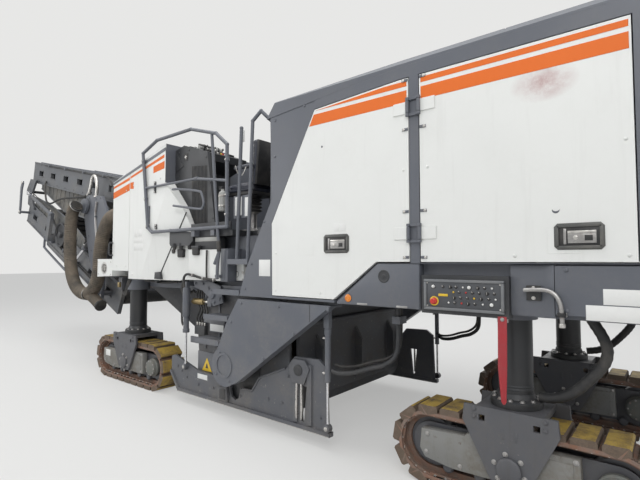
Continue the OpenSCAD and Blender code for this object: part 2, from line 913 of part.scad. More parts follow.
module slew_frame() {
  color(grey) {
    difference() {
      union() {
        translate([slew_x, 0, slew_z0 - 10 + run])
          cylinder(d = boss_d - 40, h = slew_z1 - slew_z0 + 10 - 2 * run);
        translate([slew_x, 0, slew_z0 - 80])
          cylinder(d = 108, h = slew_z1 - slew_z0 + 140);
        // head beam and the two hanging arms
        box([slew_x, -130, slew_z0 + 40], [arm_x + 60, 130, slew_z1 - 60]);
        box([arm_x - 60, -arm_y - 40, slew_z0 + 40], [arm_x + 60, arm_y + 40, slew_z1 - 60]);
        both_sides()
          slab(arm_y, arm_y + 40)
            polygon([[arm_x + 22, 2687], [arm_x + 528, 2750], [arm_x + 662, 2417], [arm_x + 478, 1812],
              [slew_x + lift_dx + 80, lift_z - 90], [slew_x + lift_dx - 80, lift_z - 90],
              [arm_x - 200, slew_z1 - 60]]);
      }
      cyl_y(slew_x + lift_dx, lift_z, 81, -arm_y - 60, arm_y + 60);
    }
    // pins of the lift cylinders
    both_sides()
      cyl_y(head_pin_x, head_pin_z, pin_d, lift_ram_y - 50, arm_y + 1);
    // fan of the dust extraction on the left arm
    translate([arm_x + 560, arm_y + 39, 2560])
      rotate([-90, 0, 0])
        cylinder(d = 250, h = 60);
  }
}

// discharge conveyor; local u along the belt, w across it
lift_x = slew_x + lift_dx;
beam_y = belt_w / 2 + 30;
conv_half = beam_y + beam_t;
hinge_u = 4156;
hinge_w = 435;
ear_t = 40;
shaft_d = 60;
horn_r = 190;
fold_ram_y = conv_half + 2 * ear_t + 46;
fold_pin_u = 2520;
fold_w = hinge_w + 20;
fold_eye_u = hinge_u - horn_r;
fold_barrel_l = fold_eye_u - fold_pin_u - 206;
fold_x = lift_x + hinge_u * cos(inner_a) - hinge_w * sin(inner_a);
fold_z = lift_z + hinge_u * sin(inner_a) + hinge_w * cos(inner_a);

module inner_place() {
  translate([lift_x, 0, lift_z])
    rotate([0, -inner_a, 0])
      children();
}

module outer_place() {
  translate([fold_x, 0, fold_z])
    rotate([0, -180 - outer_a, 0])
      children();
}

module side_beam(u0, u1, w0) {
  // deep pressed beam with oval windows
  slab(beam_y, conv_half)
    difference() {
      polygon([[u0, w0], [u1, w0], [u1, w0 + beam_h], [u0, w0 + beam_h]]);
      for (i = [0 : 5]) {
        u = u0 + 420 + i * (u1 - u0 - 840) / 5;
        translate([u - 110, w0 + beam_h / 2 - 55])
          square([220, 110]);
      }
    }
}

module conveyor_inner() {
  w0 = -beam_h / 2;
  color(grey)
    inner_place() {
      difference() {
        union() {
          both_sides() {
            side_beam(-340, inner_l, w0);
            // trunnion into the arm
            cyl_y(0, 0, 80, conv_half - 1, arm_y + 30);
            // skirt rising to the folded outer half
            slab(beam_y, beam_y + 12)
              polygon([[1500, -w0 - 1], [2260, -w0 - 1], [3500, -w0 - 1], [2260, 330], [1800, 380]]);
            // saddle of the fold cylinder
            box([fold_pin_u - 60, conv_half - 1, -60], [fold_pin_u + 60, fold_ram_y - 30, 60]);
            slab(fold_ram_y - 30, fold_ram_y + 30)
              polygon([[fold_pin_u - 60, -60], [fold_pin_u + 60, -60], [fold_pin_u + 160, fold_w - 20],
                [fold_pin_u + 160, fold_w + 10], [fold_pin_u, fold_w + 10]]);
            translate([fold_pin_u + 20, fold_ram_y, fold_w])
              rotate([0, 90, 0])
                cylinder(d = 76, h = fold_barrel_l);
            // ear for the fold hinge
            slab(conv_half - 1, conv_half + ear_t)
              polygon([[hinge_u - 420, w0 + beam_h - 60], [hinge_u - 30, w0 + beam_h - 60],
                [hinge_u + 55, hinge_w - 30], [hinge_u + 30, hinge_w + 50], [hinge_u - 50, hinge_w + 50]]);
          }
          for (u = [60, 1400, 2750, inner_l - 160])
            box([u, -beam_y - 1, w0], [u + 80, beam_y + 1, w0 + 60]);
          box([200, -beam_y - 1, w0], [inner_l - 200, beam_y + 1, w0 + 8]);
        }
        cyl_y(hinge_u, hinge_w, shaft_d + 2 * run, -conv_half - 60, conv_half + 60);
        both_sides()
          translate([fold_pin_u + 120, fold_ram_y, fold_w])
            rotate([0, 90, 0])
              cylinder(d = 40 + 2 * run, h = fold_barrel_l);
      }
    }
}

module belt_shape(u0, u1, w0) {
  // belt loop round the two end rollers
  r = 120;
  slab(-belt_w / 2, belt_w / 2)
    difference() {
      hull_free_loop(u0, u1, w0, r);
      hull_free_loop(u0, u1, w0, r - 14);
    }
  for (u = [u0, u1])
    cyl_y(u, w0, 2 * (r - 14.3), -beam_y + 0.3, beam_y - 0.3);
  for (i = [1 : 7])
    cyl_y(u0 + i * (u1 - u0) / 8, w0 + r - 14.3 - 40, 80, -beam_y + 0.3, beam_y - 0.3);
}

module hull_free_loop(u0, u1, w0, r) {
  translate([u0, w0])
    circle(r = r);
  translate([u1, w0])
    circle(r = r);
  translate([u0, w0 - r])
    square([u1 - u0, 2 * r]);
}

module belt_inner() {
  color(rubber)
    inner_place()
      belt_shape(-200, inner_l - 150, 20);
}

module conveyor_outer() {
  w0 = -hinge_w - beam_h / 2;
  color(grey)
    outer_place() {
      difference() {
        union() {
          both_sides() {
            side_beam(20, outer_l, w0);
            // ear outside the inner half's ear, with the horn for the fold cylinder
            slab(conv_half + ear_t + 0.5, conv_half + 2 * ear_t)
              polygon([[110, w0 + beam_h - 60], [420, w0 + beam_h - 60], [horn_r + 40, 55], [horn_r, 70],
                [-40, 45], [-50, 0], [-40, -45]]);
            slab(conv_half - 1, conv_half + ear_t + 1)
              polygon([[160, w0 + beam_h - 60], [400, w0 + beam_h - 60], [400, w0 + beam_h - 10],
                [160, w0 + beam_h - 10]]);
          }
          for (u = [60, 1400, 2750, outer_l - 160])
            box([u, -beam_y - 1, w0], [u + 80, beam_y + 1, w0 + 60]);
          box([100, -beam_y - 1, w0], [outer_l - 200, beam_y + 1, w0 + 8]);
        }
      }
      // hinge shaft from ear to ear
      cyl_y(0, 0, shaft_d, -conv_half - 2 * ear_t, conv_half + 2 * ear_t);
    }
}

module belt_outer() {
  color(rubber)
    outer_place()
      belt_shape(220, outer_l - 150, -hinge_w + 20);
}

// lift cylinders from the slewing frame's arms to the inner half, outside its beams
ram_d = 84;
lift_ram_y = (conv_half + 40 + arm_y) / 2;
lift_u = 1300;        // pin on the inner half
head_pin_x = arm_x + 120;
head_pin_z = slew_z1 - 170;
lift_pin_x = lift_x + lift_u * cos(inner_a);
lift_pin_z = lift_z + lift_u * sin(inner_a);
lift_len = norm([lift_pin_x - head_pin_x, lift_pin_z - head_pin_z]);
lift_dir = atan2(lift_pin_z - head_pin_z, lift_pin_x - head_pin_x);
barrel_len = 830;
pin_d = 44;

// cylinder parts drawn along +X from the barrel's pin
module ram_barrel(l, d, rod, y) {
  difference() {
    union() {
      translate([0, y, 0])
        rotate([0, 90, 0])
          cylinder(d = d, h = l);
      cyl_y(0, 0, pin_d + 50, y - 26, y + 26);
    }
    cyl_y(0, 0, pin_d + 2 * run, y - 60, y + 60);
    translate([pin_d + 40, y, 0])
      rotate([0, 90, 0])
        cylinder(d = rod + 2 * run, h = l);
  }
}

// rod from l0 to its eye at l1, with its pin reaching in to y1
module ram_rod(l0, l1, rod, y, y1) {
  translate([l0, y, 0])
    rotate([0, 90, 0])
      cylinder(d = rod, h = l1 - l0);
  cyl_y(l1, 0, pin_d + 40, y - 24, y + 24);
  cyl_y(l1, 0, pin_d, y1, y + 34);
}

module lift_place() {
  translate([head_pin_x, 0, head_pin_z])
    rotate([0, -lift_dir, 0])
      children();
}

module lift_barrels() {
  color(dark)
    lift_place()
      both_sides()
        ram_barrel(barrel_len, ram_d, 46, lift_ram_y);
}

module lift_rods() {
  color(steel)
    lift_place()
      both_sides()
        ram_rod(380, lift_len, 46, lift_ram_y, conv_half + run);
}

// rods of the fold cylinders, whose eyes run beside the horns of the outer half
module fold_rods() {
  color(steel)
    inner_place()
      both_sides() {
        translate([fold_pin_u + 200, fold_ram_y, fold_w])
          rotate([0, 90, 0])
            cylinder(d = 40, h = fold_eye_u - fold_pin_u - 200);
        cyl_y(fold_eye_u, fold_w, 84, fold_ram_y - 22, fold_ram_y + 22);
        cyl_y(fold_eye_u, fold_w, pin_d, conv_half + 2 * ear_t + run, fold_ram_y);
      }
}

// dust hoses: route points chosen by hand
hose_d = 200;
hose_front = [[2700, 939, 2560], [2800, 955, 2480], [2850, 965, 2250], [2830, 975, 1800],
  [2740, 980, 1450], [2560, 985, 1230], [2300, 990, 1120], [2050, 995, 1130], [1840, 1000, 1240],
  [1730, 1000, 1450], [1700, 1000, 1750], [1620, 1000, 2020], [1450, 980, 2260], [1240, 930, 2328],
  [nose_x - 45.5, 930, 2300]];
// short hose from the nose down to the vent box
vent_top = 1655;
hose_side = [[nose_x - 5.3, 760, 2180], [1180, 770, 2150], [1250, 785, 2020], [1255, 800, 1850],
  [1255, 800, vent_top + run]];

function unit(v) = v / norm(v);
function way(r, i) = unit(r[min(i + 1, len(r) - 1)] - r[max(i - 1, 0)]);

// tube of n sides swept along a route, its rings square to the route
module swept(r, d, n) {
  ref = [0, 1, 0];
  pts = [for (i = [0 : len(r) - 1])
    let (t = way(r, i), u = unit(cross(t, ref)), v = cross(t, u))
    for (k = [0 : n - 1])
      r[i] + d / 2 * (u * cos(k * 360 / n) + v * sin(k * 360 / n))];
  m = len(r);
  faces = concat(
    [[for (k = [0 : n - 1]) k]],
    [[for (k = [n - 1 : -1 : 0]) (m - 1) * n + k]],
    [for (i = [0 : m - 2], k = [0 : n - 1])
      [i * n + k, (i + 1) * n + k, (i + 1) * n + (k + 1) % n, i * n + (k + 1) % n]]);
  polyhedron(pts, faces);
}

module dust_hose_front() {
  color(rubber)
    swept(hose_front, hose_d, 12);
}

module dust_hose_side() {
  color(rubber)
    swept(hose_side, hose_d * 0.8, 12);
}

// track units
pad_t = 48;           // height of a pad over the chain
chain_t = 60;
end_r = track_h / 2;
end_x = track_l / 2 - end_r;

module loop2d(r) {
  for (s = [-1, 1])
    translate([s * end_x, 0])
      circle(r = r);
  square([2 * end_x, 2 * r], center = true);
}

chain_r = end_r - pad_t;
straight = 2 * end_x;
loop_len = 2 * straight + 2 * PI * chain_r;

// place along the loop: distance s from the middle of the top run, clockwise
module on_loop(s) {
  a = straight / 2;
  arc = PI * chain_r;
  if (s < a)
    translate([s, chain_r])
      children();
  else if (s < a + arc)
    translate([end_x, 0])
      rotate(-(s - a) / chain_r * 180 / PI)
        translate([0, chain_r])
          children();
  else if (s < a + arc + straight)
    translate([end_x - (s - a - arc), -chain_r])
      rotate(180)
        children();
  else if (s < a + 2 * arc + straight)
    translate([-end_x, 0])
      rotate(180 - (s - a - arc - straight) / chain_r * 180 / PI)
        translate([0, chain_r])
          children();
  else
    translate([-end_x + (s - a - 2 * arc - straight), chain_r])
      children();
}

module track_outline() {
  pitch = loop_len / pads;
  difference() {
    loop2d(chain_r + 2);
    loop2d(chain_r - chain_t);
  }
  for (i = [0 : pads - 1])
    on_loop((i + 0.5) * pitch)
      polygon([[-pitch * 0.44, -4], [pitch * 0.44, -4], [pitch * 0.44, pad_t * 0.72],
        [pitch * 0.37, pad_t], [-pitch * 0.37, pad_t], [-pitch * 0.44, pad_t * 0.72]]);
}

module track() {
  color(yellow)
    difference() {
      translate([0, track_w / 2, end_r])
        rotate([90, 0, 0])
          linear_extrude(track_w)
            track_outline();
      // the chain is narrower than its pads
      for (s = [-1, 1])
        translate([0, s * (track_w / 2 - 40) + 40 * s - 40 * s, end_r])
          rotate([90, 0, 0])
            linear_extrude(90, center = true)
              translate([0, 0])
                loop2d(chain_r - 22);
    }
}

yoke_z = track_h + 42;
yoke_t = 45;
cheek_in = track_w / 2 + 22;
cheek_t = 26;

module carrier() {
  // frame with idler, sprocket and rollers inside the loop, and the yoke over it
  frame_h = 2 * (chain_r - chain_t) - 60;
  color(dark) {
    difference() {
      union() {
        for (s = [-1, 1])
          translate([0, s * 62 + 12, end_r])
            rotate([90, 0, 0])
              linear_extrude(24)
                difference() {
                  loop2d(frame_h / 2);
                  for (x = [-330, 330])
                    translate([x, 0])
                      circle(d = 90);
                }
        box([-220, -60, end_r - 50], [220, 60, end_r + 50]);
        for (s = [-1, 1])
          translate([s * end_x, 0, end_r])
            rotate([90, 0, 0])
              cylinder(r = chain_r - chain_t - run, h = 90, center = true);
        // bottom rollers and a pair on top
        for (x = [-450, -225, 0, 225, 450])
          translate([x, 0, end_r - chain_r + chain_t + 46])
            rotate([90, 0, 0])
              cylinder(d = 92 - 2 * run, h = 96, center = true);
        // drive hub at the rear end
        translate([-end_x, 0, end_r])
          rotate([90, 0, 0])
            cylinder(d = 190, h = track_w + 10, center = true);
        // pivot shaft through the yoke's cheeks
        cyl_y(0, end_r, 90, -cheek_in - cheek_t - 14, cheek_in + cheek_t + 14);
      }
    }
    // yoke
    difference() {
      union() {
        box([-210, -cheek_in - cheek_t, yoke_z - 1], [210, cheek_in + cheek_t, yoke_z + yoke_t]);
        both_sides()
          slab(cheek_in, cheek_in + cheek_t)
            polygon([[-290, yoke_z + yoke_t], [290, yoke_z + yoke_t], [300, yoke_z - 60], [120, end_r - 90],
              [-120, end_r - 90], [-300, yoke_z - 60]]);
      }
      translate([0, 0, yoke_z - 10])
        cylinder(d = 91, h = 100);
      both_sides()
        for (x = [-190, 150])
          box([x, 0, yoke_z - 50], [x + 40, 400, yoke_z - 10]);
    }
  }
}

leg_bottom = yoke_z + yoke_t;

module leg() {
  color(dark) {
    translate([0, 0, leg_bottom + run])
      cylinder(d = 330, h = 40);
    translate([0, 0, leg_bottom + run])
      cylinder(d = leg_d, h = 1660 - leg_bottom);
    translate([0, 0, yoke_z + 5])
      cylinder(d = 90, h = yoke_t);
  }
}

// columns: x, y
module leg_front_left() { translate([front_col_x, col_y, 0]) leg(); }
module leg_front_right() { translate([front_col_x, -col_y, 0]) leg(); }
module leg_rear_left() { translate([rear_col_x, col_y, 0]) leg(); }
module leg_rear_right() { translate([rear_col_x, -col_y, 0]) leg(); }
module carrier_front_left() { translate([front_col_x, col_y, 0]) carrier(); }
module carrier_front_right() { translate([front_col_x, -col_y, 0]) carrier(); }
module carrier_rear_left() { translate([rear_col_x, col_y, 0]) carrier(); }
module carrier_rear_right() { translate([rear_col_x, -col_y, 0]) carrier(); }
module track_front_left() { translate([front_col_x, col_y, 0]) track(); }
module track_front_right() { translate([front_col_x, -col_y, 0]) track(); }
module track_rear_left() { translate([rear_col_x, col_y, 0]) track(); }
module track_rear_right() { translate([rear_col_x, -col_y, 0]) track(); }

// housing with a fan in front of the nose, on the left
module vent_box() {
  color(white)
    difference() {
      intersection() {
        slab(700, 1150)
          polygon([[nose_x - 20 + run, 1420], [1450, 1400], [1450, vent_top],
            [nose_x - 20 + (vent_top - 1500) / 20 + run, vent_top], [nose_x - 20 + run, 1500]]);
        translate([0, 0, 1300])
          linear_extrude(500)
            polygon([[900, 690], [1290, 690], [1450, 960], [1450, 1160], [900, 1160]]);
      }
      cyl_y(1250, 1525, 170, 1120, 1151);
    }
  color(dark)
    difference() {
      cyl_y(1250, 1525, 168, 1119, 1148);
      cyl_y(1250, 1525, 120, 1130, 1149);
    }
}

module lamps() {
  color(yellow)
    both_sides() {
      box([nose_x - 60 + run, 700, vent_top + 5], [nose_x + 4, 860, 1760]);
      box([hood_rear_x - 30, 1000, 1680], [hood_rear_x + 0.7, 1140, 1760]);
    }
}

main_frame();
drum_housing();
belt_cover();
hood_shell();
hood_front();
hood_roof();
rear_grille();
engine_block();
front_body();
platform();
operator_desks();
seats();
railings();
ladders();
control_boxes();
side_panels();
primary_conveyor();
slew_bracket();
lashing_eyes();
lamps();
plate_cylinders();
door_rear_left();
door_front_left();
door_rear_right();
door_front_right();
milling_drum();
side_plate_left();
side_plate_right();
scraper();
leg_front_left();
leg_front_right();
leg_rear_left();
leg_rear_right();
carrier_front_left();
carrier_front_right();
carrier_rear_left();
carrier_rear_right();
track_front_left();
track_front_right();
track_rear_left();
track_rear_right();
slew_frame();
conveyor_inner();
belt_inner();
conveyor_outer();
belt_outer();
lift_barrels();
lift_rods();
fold_rods();
dust_hose_front();
dust_hose_side();
vent_box();
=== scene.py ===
import math
import random

import bmesh
import bpy
from mathutils import Matrix, Vector


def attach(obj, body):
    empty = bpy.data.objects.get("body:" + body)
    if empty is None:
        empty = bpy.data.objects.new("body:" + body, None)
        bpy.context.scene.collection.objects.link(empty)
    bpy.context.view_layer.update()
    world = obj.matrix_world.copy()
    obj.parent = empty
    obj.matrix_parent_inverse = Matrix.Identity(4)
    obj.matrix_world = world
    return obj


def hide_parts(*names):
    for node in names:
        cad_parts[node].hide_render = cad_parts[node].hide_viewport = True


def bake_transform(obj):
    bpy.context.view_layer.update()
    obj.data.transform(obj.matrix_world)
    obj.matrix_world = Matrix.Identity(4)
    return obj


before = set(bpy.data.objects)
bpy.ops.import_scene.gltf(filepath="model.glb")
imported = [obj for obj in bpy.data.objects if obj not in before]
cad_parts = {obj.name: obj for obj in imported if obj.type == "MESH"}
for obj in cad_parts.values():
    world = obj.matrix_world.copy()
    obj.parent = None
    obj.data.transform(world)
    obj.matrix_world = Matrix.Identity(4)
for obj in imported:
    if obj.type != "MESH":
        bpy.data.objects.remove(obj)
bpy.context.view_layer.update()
random.seed(11)


# materials
class Nodes:
    """Short names for building a node tree; an input takes a number, a colour or another node's output."""

    def __init__(self, owner):
        owner.use_nodes = True
        self.mat = owner
        self.tree = owner.node_tree
        self.bsdf = self.tree.nodes.get("Principled BSDF")
        if self.bsdf:
            self.co = self.node("TexCoord", {}, "Object")

    def put(self, socket, value):
        if isinstance(value, bpy.types.NodeSocket):
            self.tree.links.new(value, socket)
        elif isinstance(value, tuple) and socket.type == "RGBA":
            socket.default_value = (*value, 1)
        elif value is not None:
            socket.default_value = value

    def node(self, kind, inputs, out=0, **settings):
        n = self.tree.nodes.new("ShaderNode" + kind)
        for name, value in settings.items():
            setattr(n, name, value)
        for key, value in inputs.items():
            self.put(n.inputs[key], value)
        return n.outputs[out]

    def set(self, **values):
        for name, value in values.items():
            self.put(self.bsdf.inputs[name.replace("_", " ")], value)

    def noise(self, scale, detail, rough=0.55, stretch=None):
        src = self.node("Mapping", {0: self.co, "Scale": stretch}) if stretch else self.co
        return self.node("TexNoise", {"Vector": src, "Scale": scale, "Detail": detail, "Roughness": rough},
                         "Fac")

    def ramp(self, fac, a, b, lo=0.0, hi=1.0):
        return self.node("MapRange", {"Value": fac, "From Min": a, "From Max": b, "To Min": lo, "To Max": hi})

    def math(self, op, a, b=None):
        return self.node("Math", {0: a, 1: b}, operation=op)

    def times(self, a, b):
        return self.math("MULTIPLY", a, b)

    def plus(self, a, b):
        return self.math("ADD", a, b)

    def xyz(self):
        return self.node("SeparateXYZ", {0: self.co}).node.outputs

    def mix(self, fac, a, b):
        return self.node("Mix", {0: fac, 6: a, 7: b}, 2, data_type="RGBA")

    def bump(self, height, strength, distance, normal=None):
        self.set(Normal=self.node("Bump", {"Strength": strength, "Distance": distance, "Height": height,
                                           "Normal": normal}))

    def bevel(self, radius):
        return self.node("Bevel", {"Radius": radius}, samples=4)


def darker(rgb, share):
    return tuple(c * share for c in rgb)


def paint(name, rgb, rough, dust, dust_rgb=(0.3, 0.27, 0.23), low=(1.6, 0.2), chips=0.0,
          chip_rgb=(0.25, 0.22, 0.2), tone=0.08, streaks=0.0, gloss=0.5, smudge=None):
    """Enamel on steel: slight tone drift, dust that thickens towards the ground, rain streaks, chips."""
    n = Nodes(bpy.data.materials.new(name))
    big = n.noise(0.9, 3)
    dark = darker(rgb, 1 - tone)
    col = n.mix(n.ramp(big, 0.35, 0.65), dark, rgb)
    z = n.xyz()[2]
    height = n.ramp(z, low[0], low[1])
    patch = n.noise(3.1, 8, 0.62)
    fine = n.noise(38, 5, 0.6)
    mask = n.times(n.ramp(patch, 0.42, 0.72), n.plus(height, 0.25))
    mask = n.times(mask, n.ramp(fine, 0.2, 0.75))
    mask = n.math("MINIMUM", n.times(mask, dust * 2.2), 0.85)
    col = n.mix(mask, col, dust_rgb)
    if streaks:
        s = n.noise(14, 6, 0.65, stretch=(1.0, 1.0, 0.06))
        col = n.mix(n.times(n.ramp(s, 0.56, 0.8), streaks), col, darker(dust_rgb, 0.55))
    if chips:
        c = n.noise(26, 9, 0.72)
        edge = n.ramp(c, 0.66 - 0.04 * chips, 0.68)
        share = n.times(n.plus(height, 0.2), min(1.0, chips))
        col = n.mix(n.times(edge, share), col, chip_rgb)
    if smudge:
        # a rubbed patch round one place (x, z)
        at_x, at_z, half_x, half_z, rgb, strength = smudge
        px = n.math("DIVIDE", n.math("SUBTRACT", n.xyz()[0], at_x), half_x)
        pz = n.math("DIVIDE", n.math("SUBTRACT", z, at_z), half_z)
        far = n.math("SQRT", n.plus(n.times(px, px), n.times(pz, pz)))
        near = n.times(n.ramp(far, 1.0, 0.2), n.ramp(n.noise(11, 6, 0.7), 0.38, 0.66, 0.25, 1.0))
        col = n.mix(n.times(near, strength), col, rgb)
    n.set(Base_Color=col)
    sheen = n.ramp(patch, 0.3, 0.7, rough - 0.05, rough + 0.07)
    n.set(Roughness=n.plus(n.times(mask, 0.45), sheen))
    n.bump(fine, 0.06, 0.001, n.bevel(0.004))
    n.set(Specular_IOR_Level=gloss)
    return n.mat


def metal(name, rgb, rough, rust, rust_rgb=(0.16, 0.075, 0.035), metallic=0.9, scale=7.0):
    n = Nodes(bpy.data.materials.new(name))
    a = n.noise(scale, 8, 0.65)
    b = n.noise(scale * 9, 4, 0.5)
    tone = n.mix(n.ramp(b, 0.3, 0.7), darker(rgb, 0.75), rgb)
    mask = n.times(n.ramp(a, 0.62 - 0.35 * rust, 0.72), min(1.0, rust * 2 + 0.1))
    n.set(Base_Color=n.mix(mask, tone, rust_rgb))
    n.set(Metallic=n.ramp(mask, 0, 1, metallic, 0.1))
    sheen = n.ramp(b, 0.2, 0.8, rough - 0.08, rough + 0.1)
    n.set(Roughness=n.plus(n.times(mask, 0.3), sheen))
    n.bump(n.plus(n.times(a, 0.6), b), 0.18, 0.002, n.bevel(0.003))
    return n.mat


def plain(name, rgb, rough, scale, strength=0.08, tone=0.12, coat=0.0, dust=0.12):
    n = Nodes(bpy.data.materials.new(name))
    a = n.noise(scale, 4, 0.6)
    b = n.noise(scale / 14, 6, 0.6)
    col = n.mix(n.ramp(a, 0.3, 0.7), darker(rgb, 1 - tone), rgb)
    col = n.mix(n.times(n.ramp(b, 0.45, 0.8), dust), col, (0.3, 0.27, 0.23))
    n.set(Base_Color=col)
    n.set(Roughness=n.ramp(b, 0.3, 0.75, rough - 0.05, rough + 0.1))
    n.bump(a, strength, 0.001)
    if coat:
        n.set(Coat_Weight=coat, Coat_Roughness=0.1)
    return n.mat


PANEL = dict(rough=0.36, dust=0.16, dust_rgb=(0.42, 0.39, 0.34), tone=0.035, streaks=0.1, gloss=0.35)
WHITE = paint("panel_white", (0.76, 0.765, 0.74), **PANEL)
WHITE_RUBBED = paint("panel_white_rubbed", (0.76, 0.765, 0.74), smudge=(-4.525, 2.715, 0.2, 0.12,
        (0.36, 0.13, 0.13), 0.75), **PANEL)
GREY = paint("frame_grey", (0.112, 0.12, 0.14), 0.4, dust=0.34, dust_rgb=(0.23, 0.215, 0.195), chips=0.5,
             streaks=0.12)
CONVEYOR = paint("conveyor_grey", (0.1, 0.106, 0.118), 0.45, dust=0.62, dust_rgb=(0.235, 0.225, 0.21),
                 chips=0.6, streaks=0.2, low=(4.2, 1.2))
# Darker copy of frame_grey for the drum housing, primary conveyor, scraper and the valve blocks under the
# front body: painted shade. Its dust colour is darkened the same way; the dust itself is real.
SHADED_GREY = paint("shaded_low_grey", (0.08, 0.083, 0.092), 0.5, dust=0.6, dust_rgb=(0.135, 0.122, 0.108),
                 chips=1.0)
GATE = paint("side_plate_grey", (0.1, 0.104, 0.116), 0.45, dust=0.6, dust_rgb=(0.185, 0.172, 0.158),
             chips=1.1, chip_rgb=(0.3, 0.28, 0.26), streaks=0.15, low=(0.75, 0.05))
YOKE = paint("yoke_grey", (0.088, 0.09, 0.1), 0.45, dust=0.3, dust_rgb=(0.135, 0.125, 0.115), chips=0.5,
             streaks=0.45)
TRACK_COVER = paint("track_cover_grey", (0.215, 0.215, 0.205), 0.5, dust=0.75, dust_rgb=(0.175, 0.16,
        0.135), chips=1.4, chip_rgb=(0.13, 0.11, 0.09), streaks=0.7)
COLUMN = paint("column_black", (0.021, 0.022, 0.024), 0.4, dust=0.2, dust_rgb=(0.075, 0.068, 0.06),
               streaks=0.2)
MARKER = paint("marker_red", (0.36, 0.022, 0.03), 0.4, dust=0.5, dust_rgb=(0.2, 0.07, 0.07), streaks=0.4)
SHEET = paint("dusty_sheet", (0.098, 0.1, 0.098), 0.6, dust=1.0, dust_rgb=(0.215, 0.2, 0.175), streaks=0.5,
              low=(4.4, 2.0))
HUB = paint("hub_grey", (0.13, 0.14, 0.13), 0.5, dust=0.7, dust_rgb=(0.2, 0.18, 0.15), chips=1.0)
CONTROL = paint("panel_dark", (0.06, 0.064, 0.072), 0.38, dust=0.2, dust_rgb=(0.2, 0.19, 0.18))
PALE = paint("pale_grey_paint", (0.42, 0.42, 0.4), 0.42, dust=0.35, dust_rgb=(0.3, 0.28, 0.25), chips=0.3)
DARK = paint("dark_paint", (0.03, 0.032, 0.036), 0.45, dust=0.35, dust_rgb=(0.13, 0.12, 0.11), chips=0.3)
ORANGE = paint("stripe_orange", (0.74, 0.165, 0.035), 0.5, dust=0.06, tone=0.05, dust_rgb=(0.6, 0.3, 0.18),
               gloss=0.15)
STEEL = metal("worn_steel", (0.42, 0.41, 0.4), 0.38, 0.25)
BRIGHT = metal("scuffed_bright_steel", (0.62, 0.6, 0.57), 0.3, 0.12)
CHAIN = metal("rusty_chain", (0.235, 0.185, 0.155), 0.6, 0.75, rust_rgb=(0.26, 0.125, 0.075),
              metallic=0.35, scale=11)
DRUM = metal("drum_steel", (0.17, 0.16, 0.155), 0.6, 0.5, metallic=0.5)
CHROME = metal("rod_chrome", (0.78, 0.78, 0.8), 0.14, 0.02, metallic=1.0)
RUBBER = plain("rubber_black", (0.022, 0.022, 0.023), 0.62, scale=90, dust=0.25)
BELT = plain("belt_rubber", (0.03, 0.03, 0.031), 0.7, scale=40, dust=0.5)
BRASS = metal("dull_brass", (0.34, 0.26, 0.13), 0.42, 0.2)
PAD_EDGE = metal("scuffed_pad_edge", (0.135, 0.098, 0.07), 0.75, 0.4, rust_rgb=(0.2, 0.15, 0.115),
                 metallic=0.0, scale=14)
GLASS = plain("lamp_lens", (0.5, 0.52, 0.53), 0.12, coat=0.8, scale=120, dust=0.25)
AMBER = plain("amber_lens", (0.75, 0.22, 0.01), 0.25, coat=0.6, scale=120, dust=0.1)
SEAT = plain("seat_vinyl", (0.02, 0.024, 0.04), 0.48, scale=140, strength=0.2, dust=0.15)
BEZEL = plain("bezel_grey", (0.085, 0.086, 0.082), 0.4, scale=110, dust=0.3)
PLASTIC = plain("black_plastic", (0.02, 0.02, 0.021), 0.42, scale=160)
REDP = plain("red_plastic", (0.55, 0.02, 0.015), 0.35, coat=0.3, scale=80)
YELLOWP = plain("yellow_plastic", (0.75, 0.5, 0.03), 0.4, scale=80)
LABEL = plain("blank_label", (0.74, 0.74, 0.72), 0.45, scale=50, tone=0.03)


def pad_material():
    """Polyurethane pad: yellow worn face under dried dirt."""
    n = Nodes(bpy.data.materials.new("pad_polyurethane"))
    a = n.noise(9, 7, 0.7)
    b = n.noise(70, 5, 0.6)
    col = n.mix(n.ramp(a, 0.44, 0.66), (0.46, 0.31, 0.06), (0.15, 0.105, 0.06))
    col = n.mix(n.ramp(b, 0.55, 0.75), col, (0.23, 0.17, 0.13))
    n.set(Base_Color=col)
    n.set(Roughness=n.ramp(a, 0.3, 0.7, 0.5, 0.75))
    n.bump(n.plus(a, b), 0.25, 0.003)
    return n.mat


PAD = pad_material()


def hose_material():
    n = Nodes(bpy.data.materials.new("dusty_hose"))
    a = n.noise(5, 6, 0.6)
    col = n.mix(n.ramp(a, 0.35, 0.65), (0.062, 0.053, 0.042), (0.15, 0.12, 0.088))
    n.set(Base_Color=col)
    n.set(Roughness=0.72)
    n.bump(n.noise(55, 4), 0.12, 0.002)
    return n.mat


HOSE = hose_material()

# looks of the solids; any other node is grey
LOOKS = [
    # the drum housing, primary conveyor and scraper take the shaded grey: painted shade
    (SHADED_GREY, "drum_housing primary_conveyor scraper"), (STEEL, "engine_block lamps"),
    (DARK, "rear_grille platform operator_desks control_boxes lift_barrels"), (RUBBER, "seats"),
    (WHITE, "front_body vent_box door_front_left door_rear_right door_front_right"),
    (WHITE_RUBBED, "door_rear_left"),
    (HOSE, "dust_hose_side dust_hose_front"), (DRUM, "milling_drum"), (BELT, "belt_inner belt_outer"),
    (GATE, "side_plate_left side_plate_right"), (CONVEYOR, "conveyor_inner conveyor_outer"),
    (CHROME, "lift_rods fold_rods"),
]
NODE_LOOK = {node: look for look, nodes in LOOKS for node in nodes.split()}
for name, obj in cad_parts.items():
    look = {"leg": COLUMN, "carrier": YOKE, "track": CHAIN}.get(name.split("_")[0], NODE_LOOK.get(name, GREY))
    obj.data.materials.clear()
    obj.data.materials.append(look)
    obj.data.polygons.foreach_set("material_index", [0] * len(obj.data.polygons))


def recolour(node, look, test):
    """Give the faces of a CAD node that pass test(centre, normal) another look."""
    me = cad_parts[node].data
    me.materials.append(look)
    for f in me.polygons:
        if test(f.center, f.normal):
            f.material_index = len(me.materials) - 1


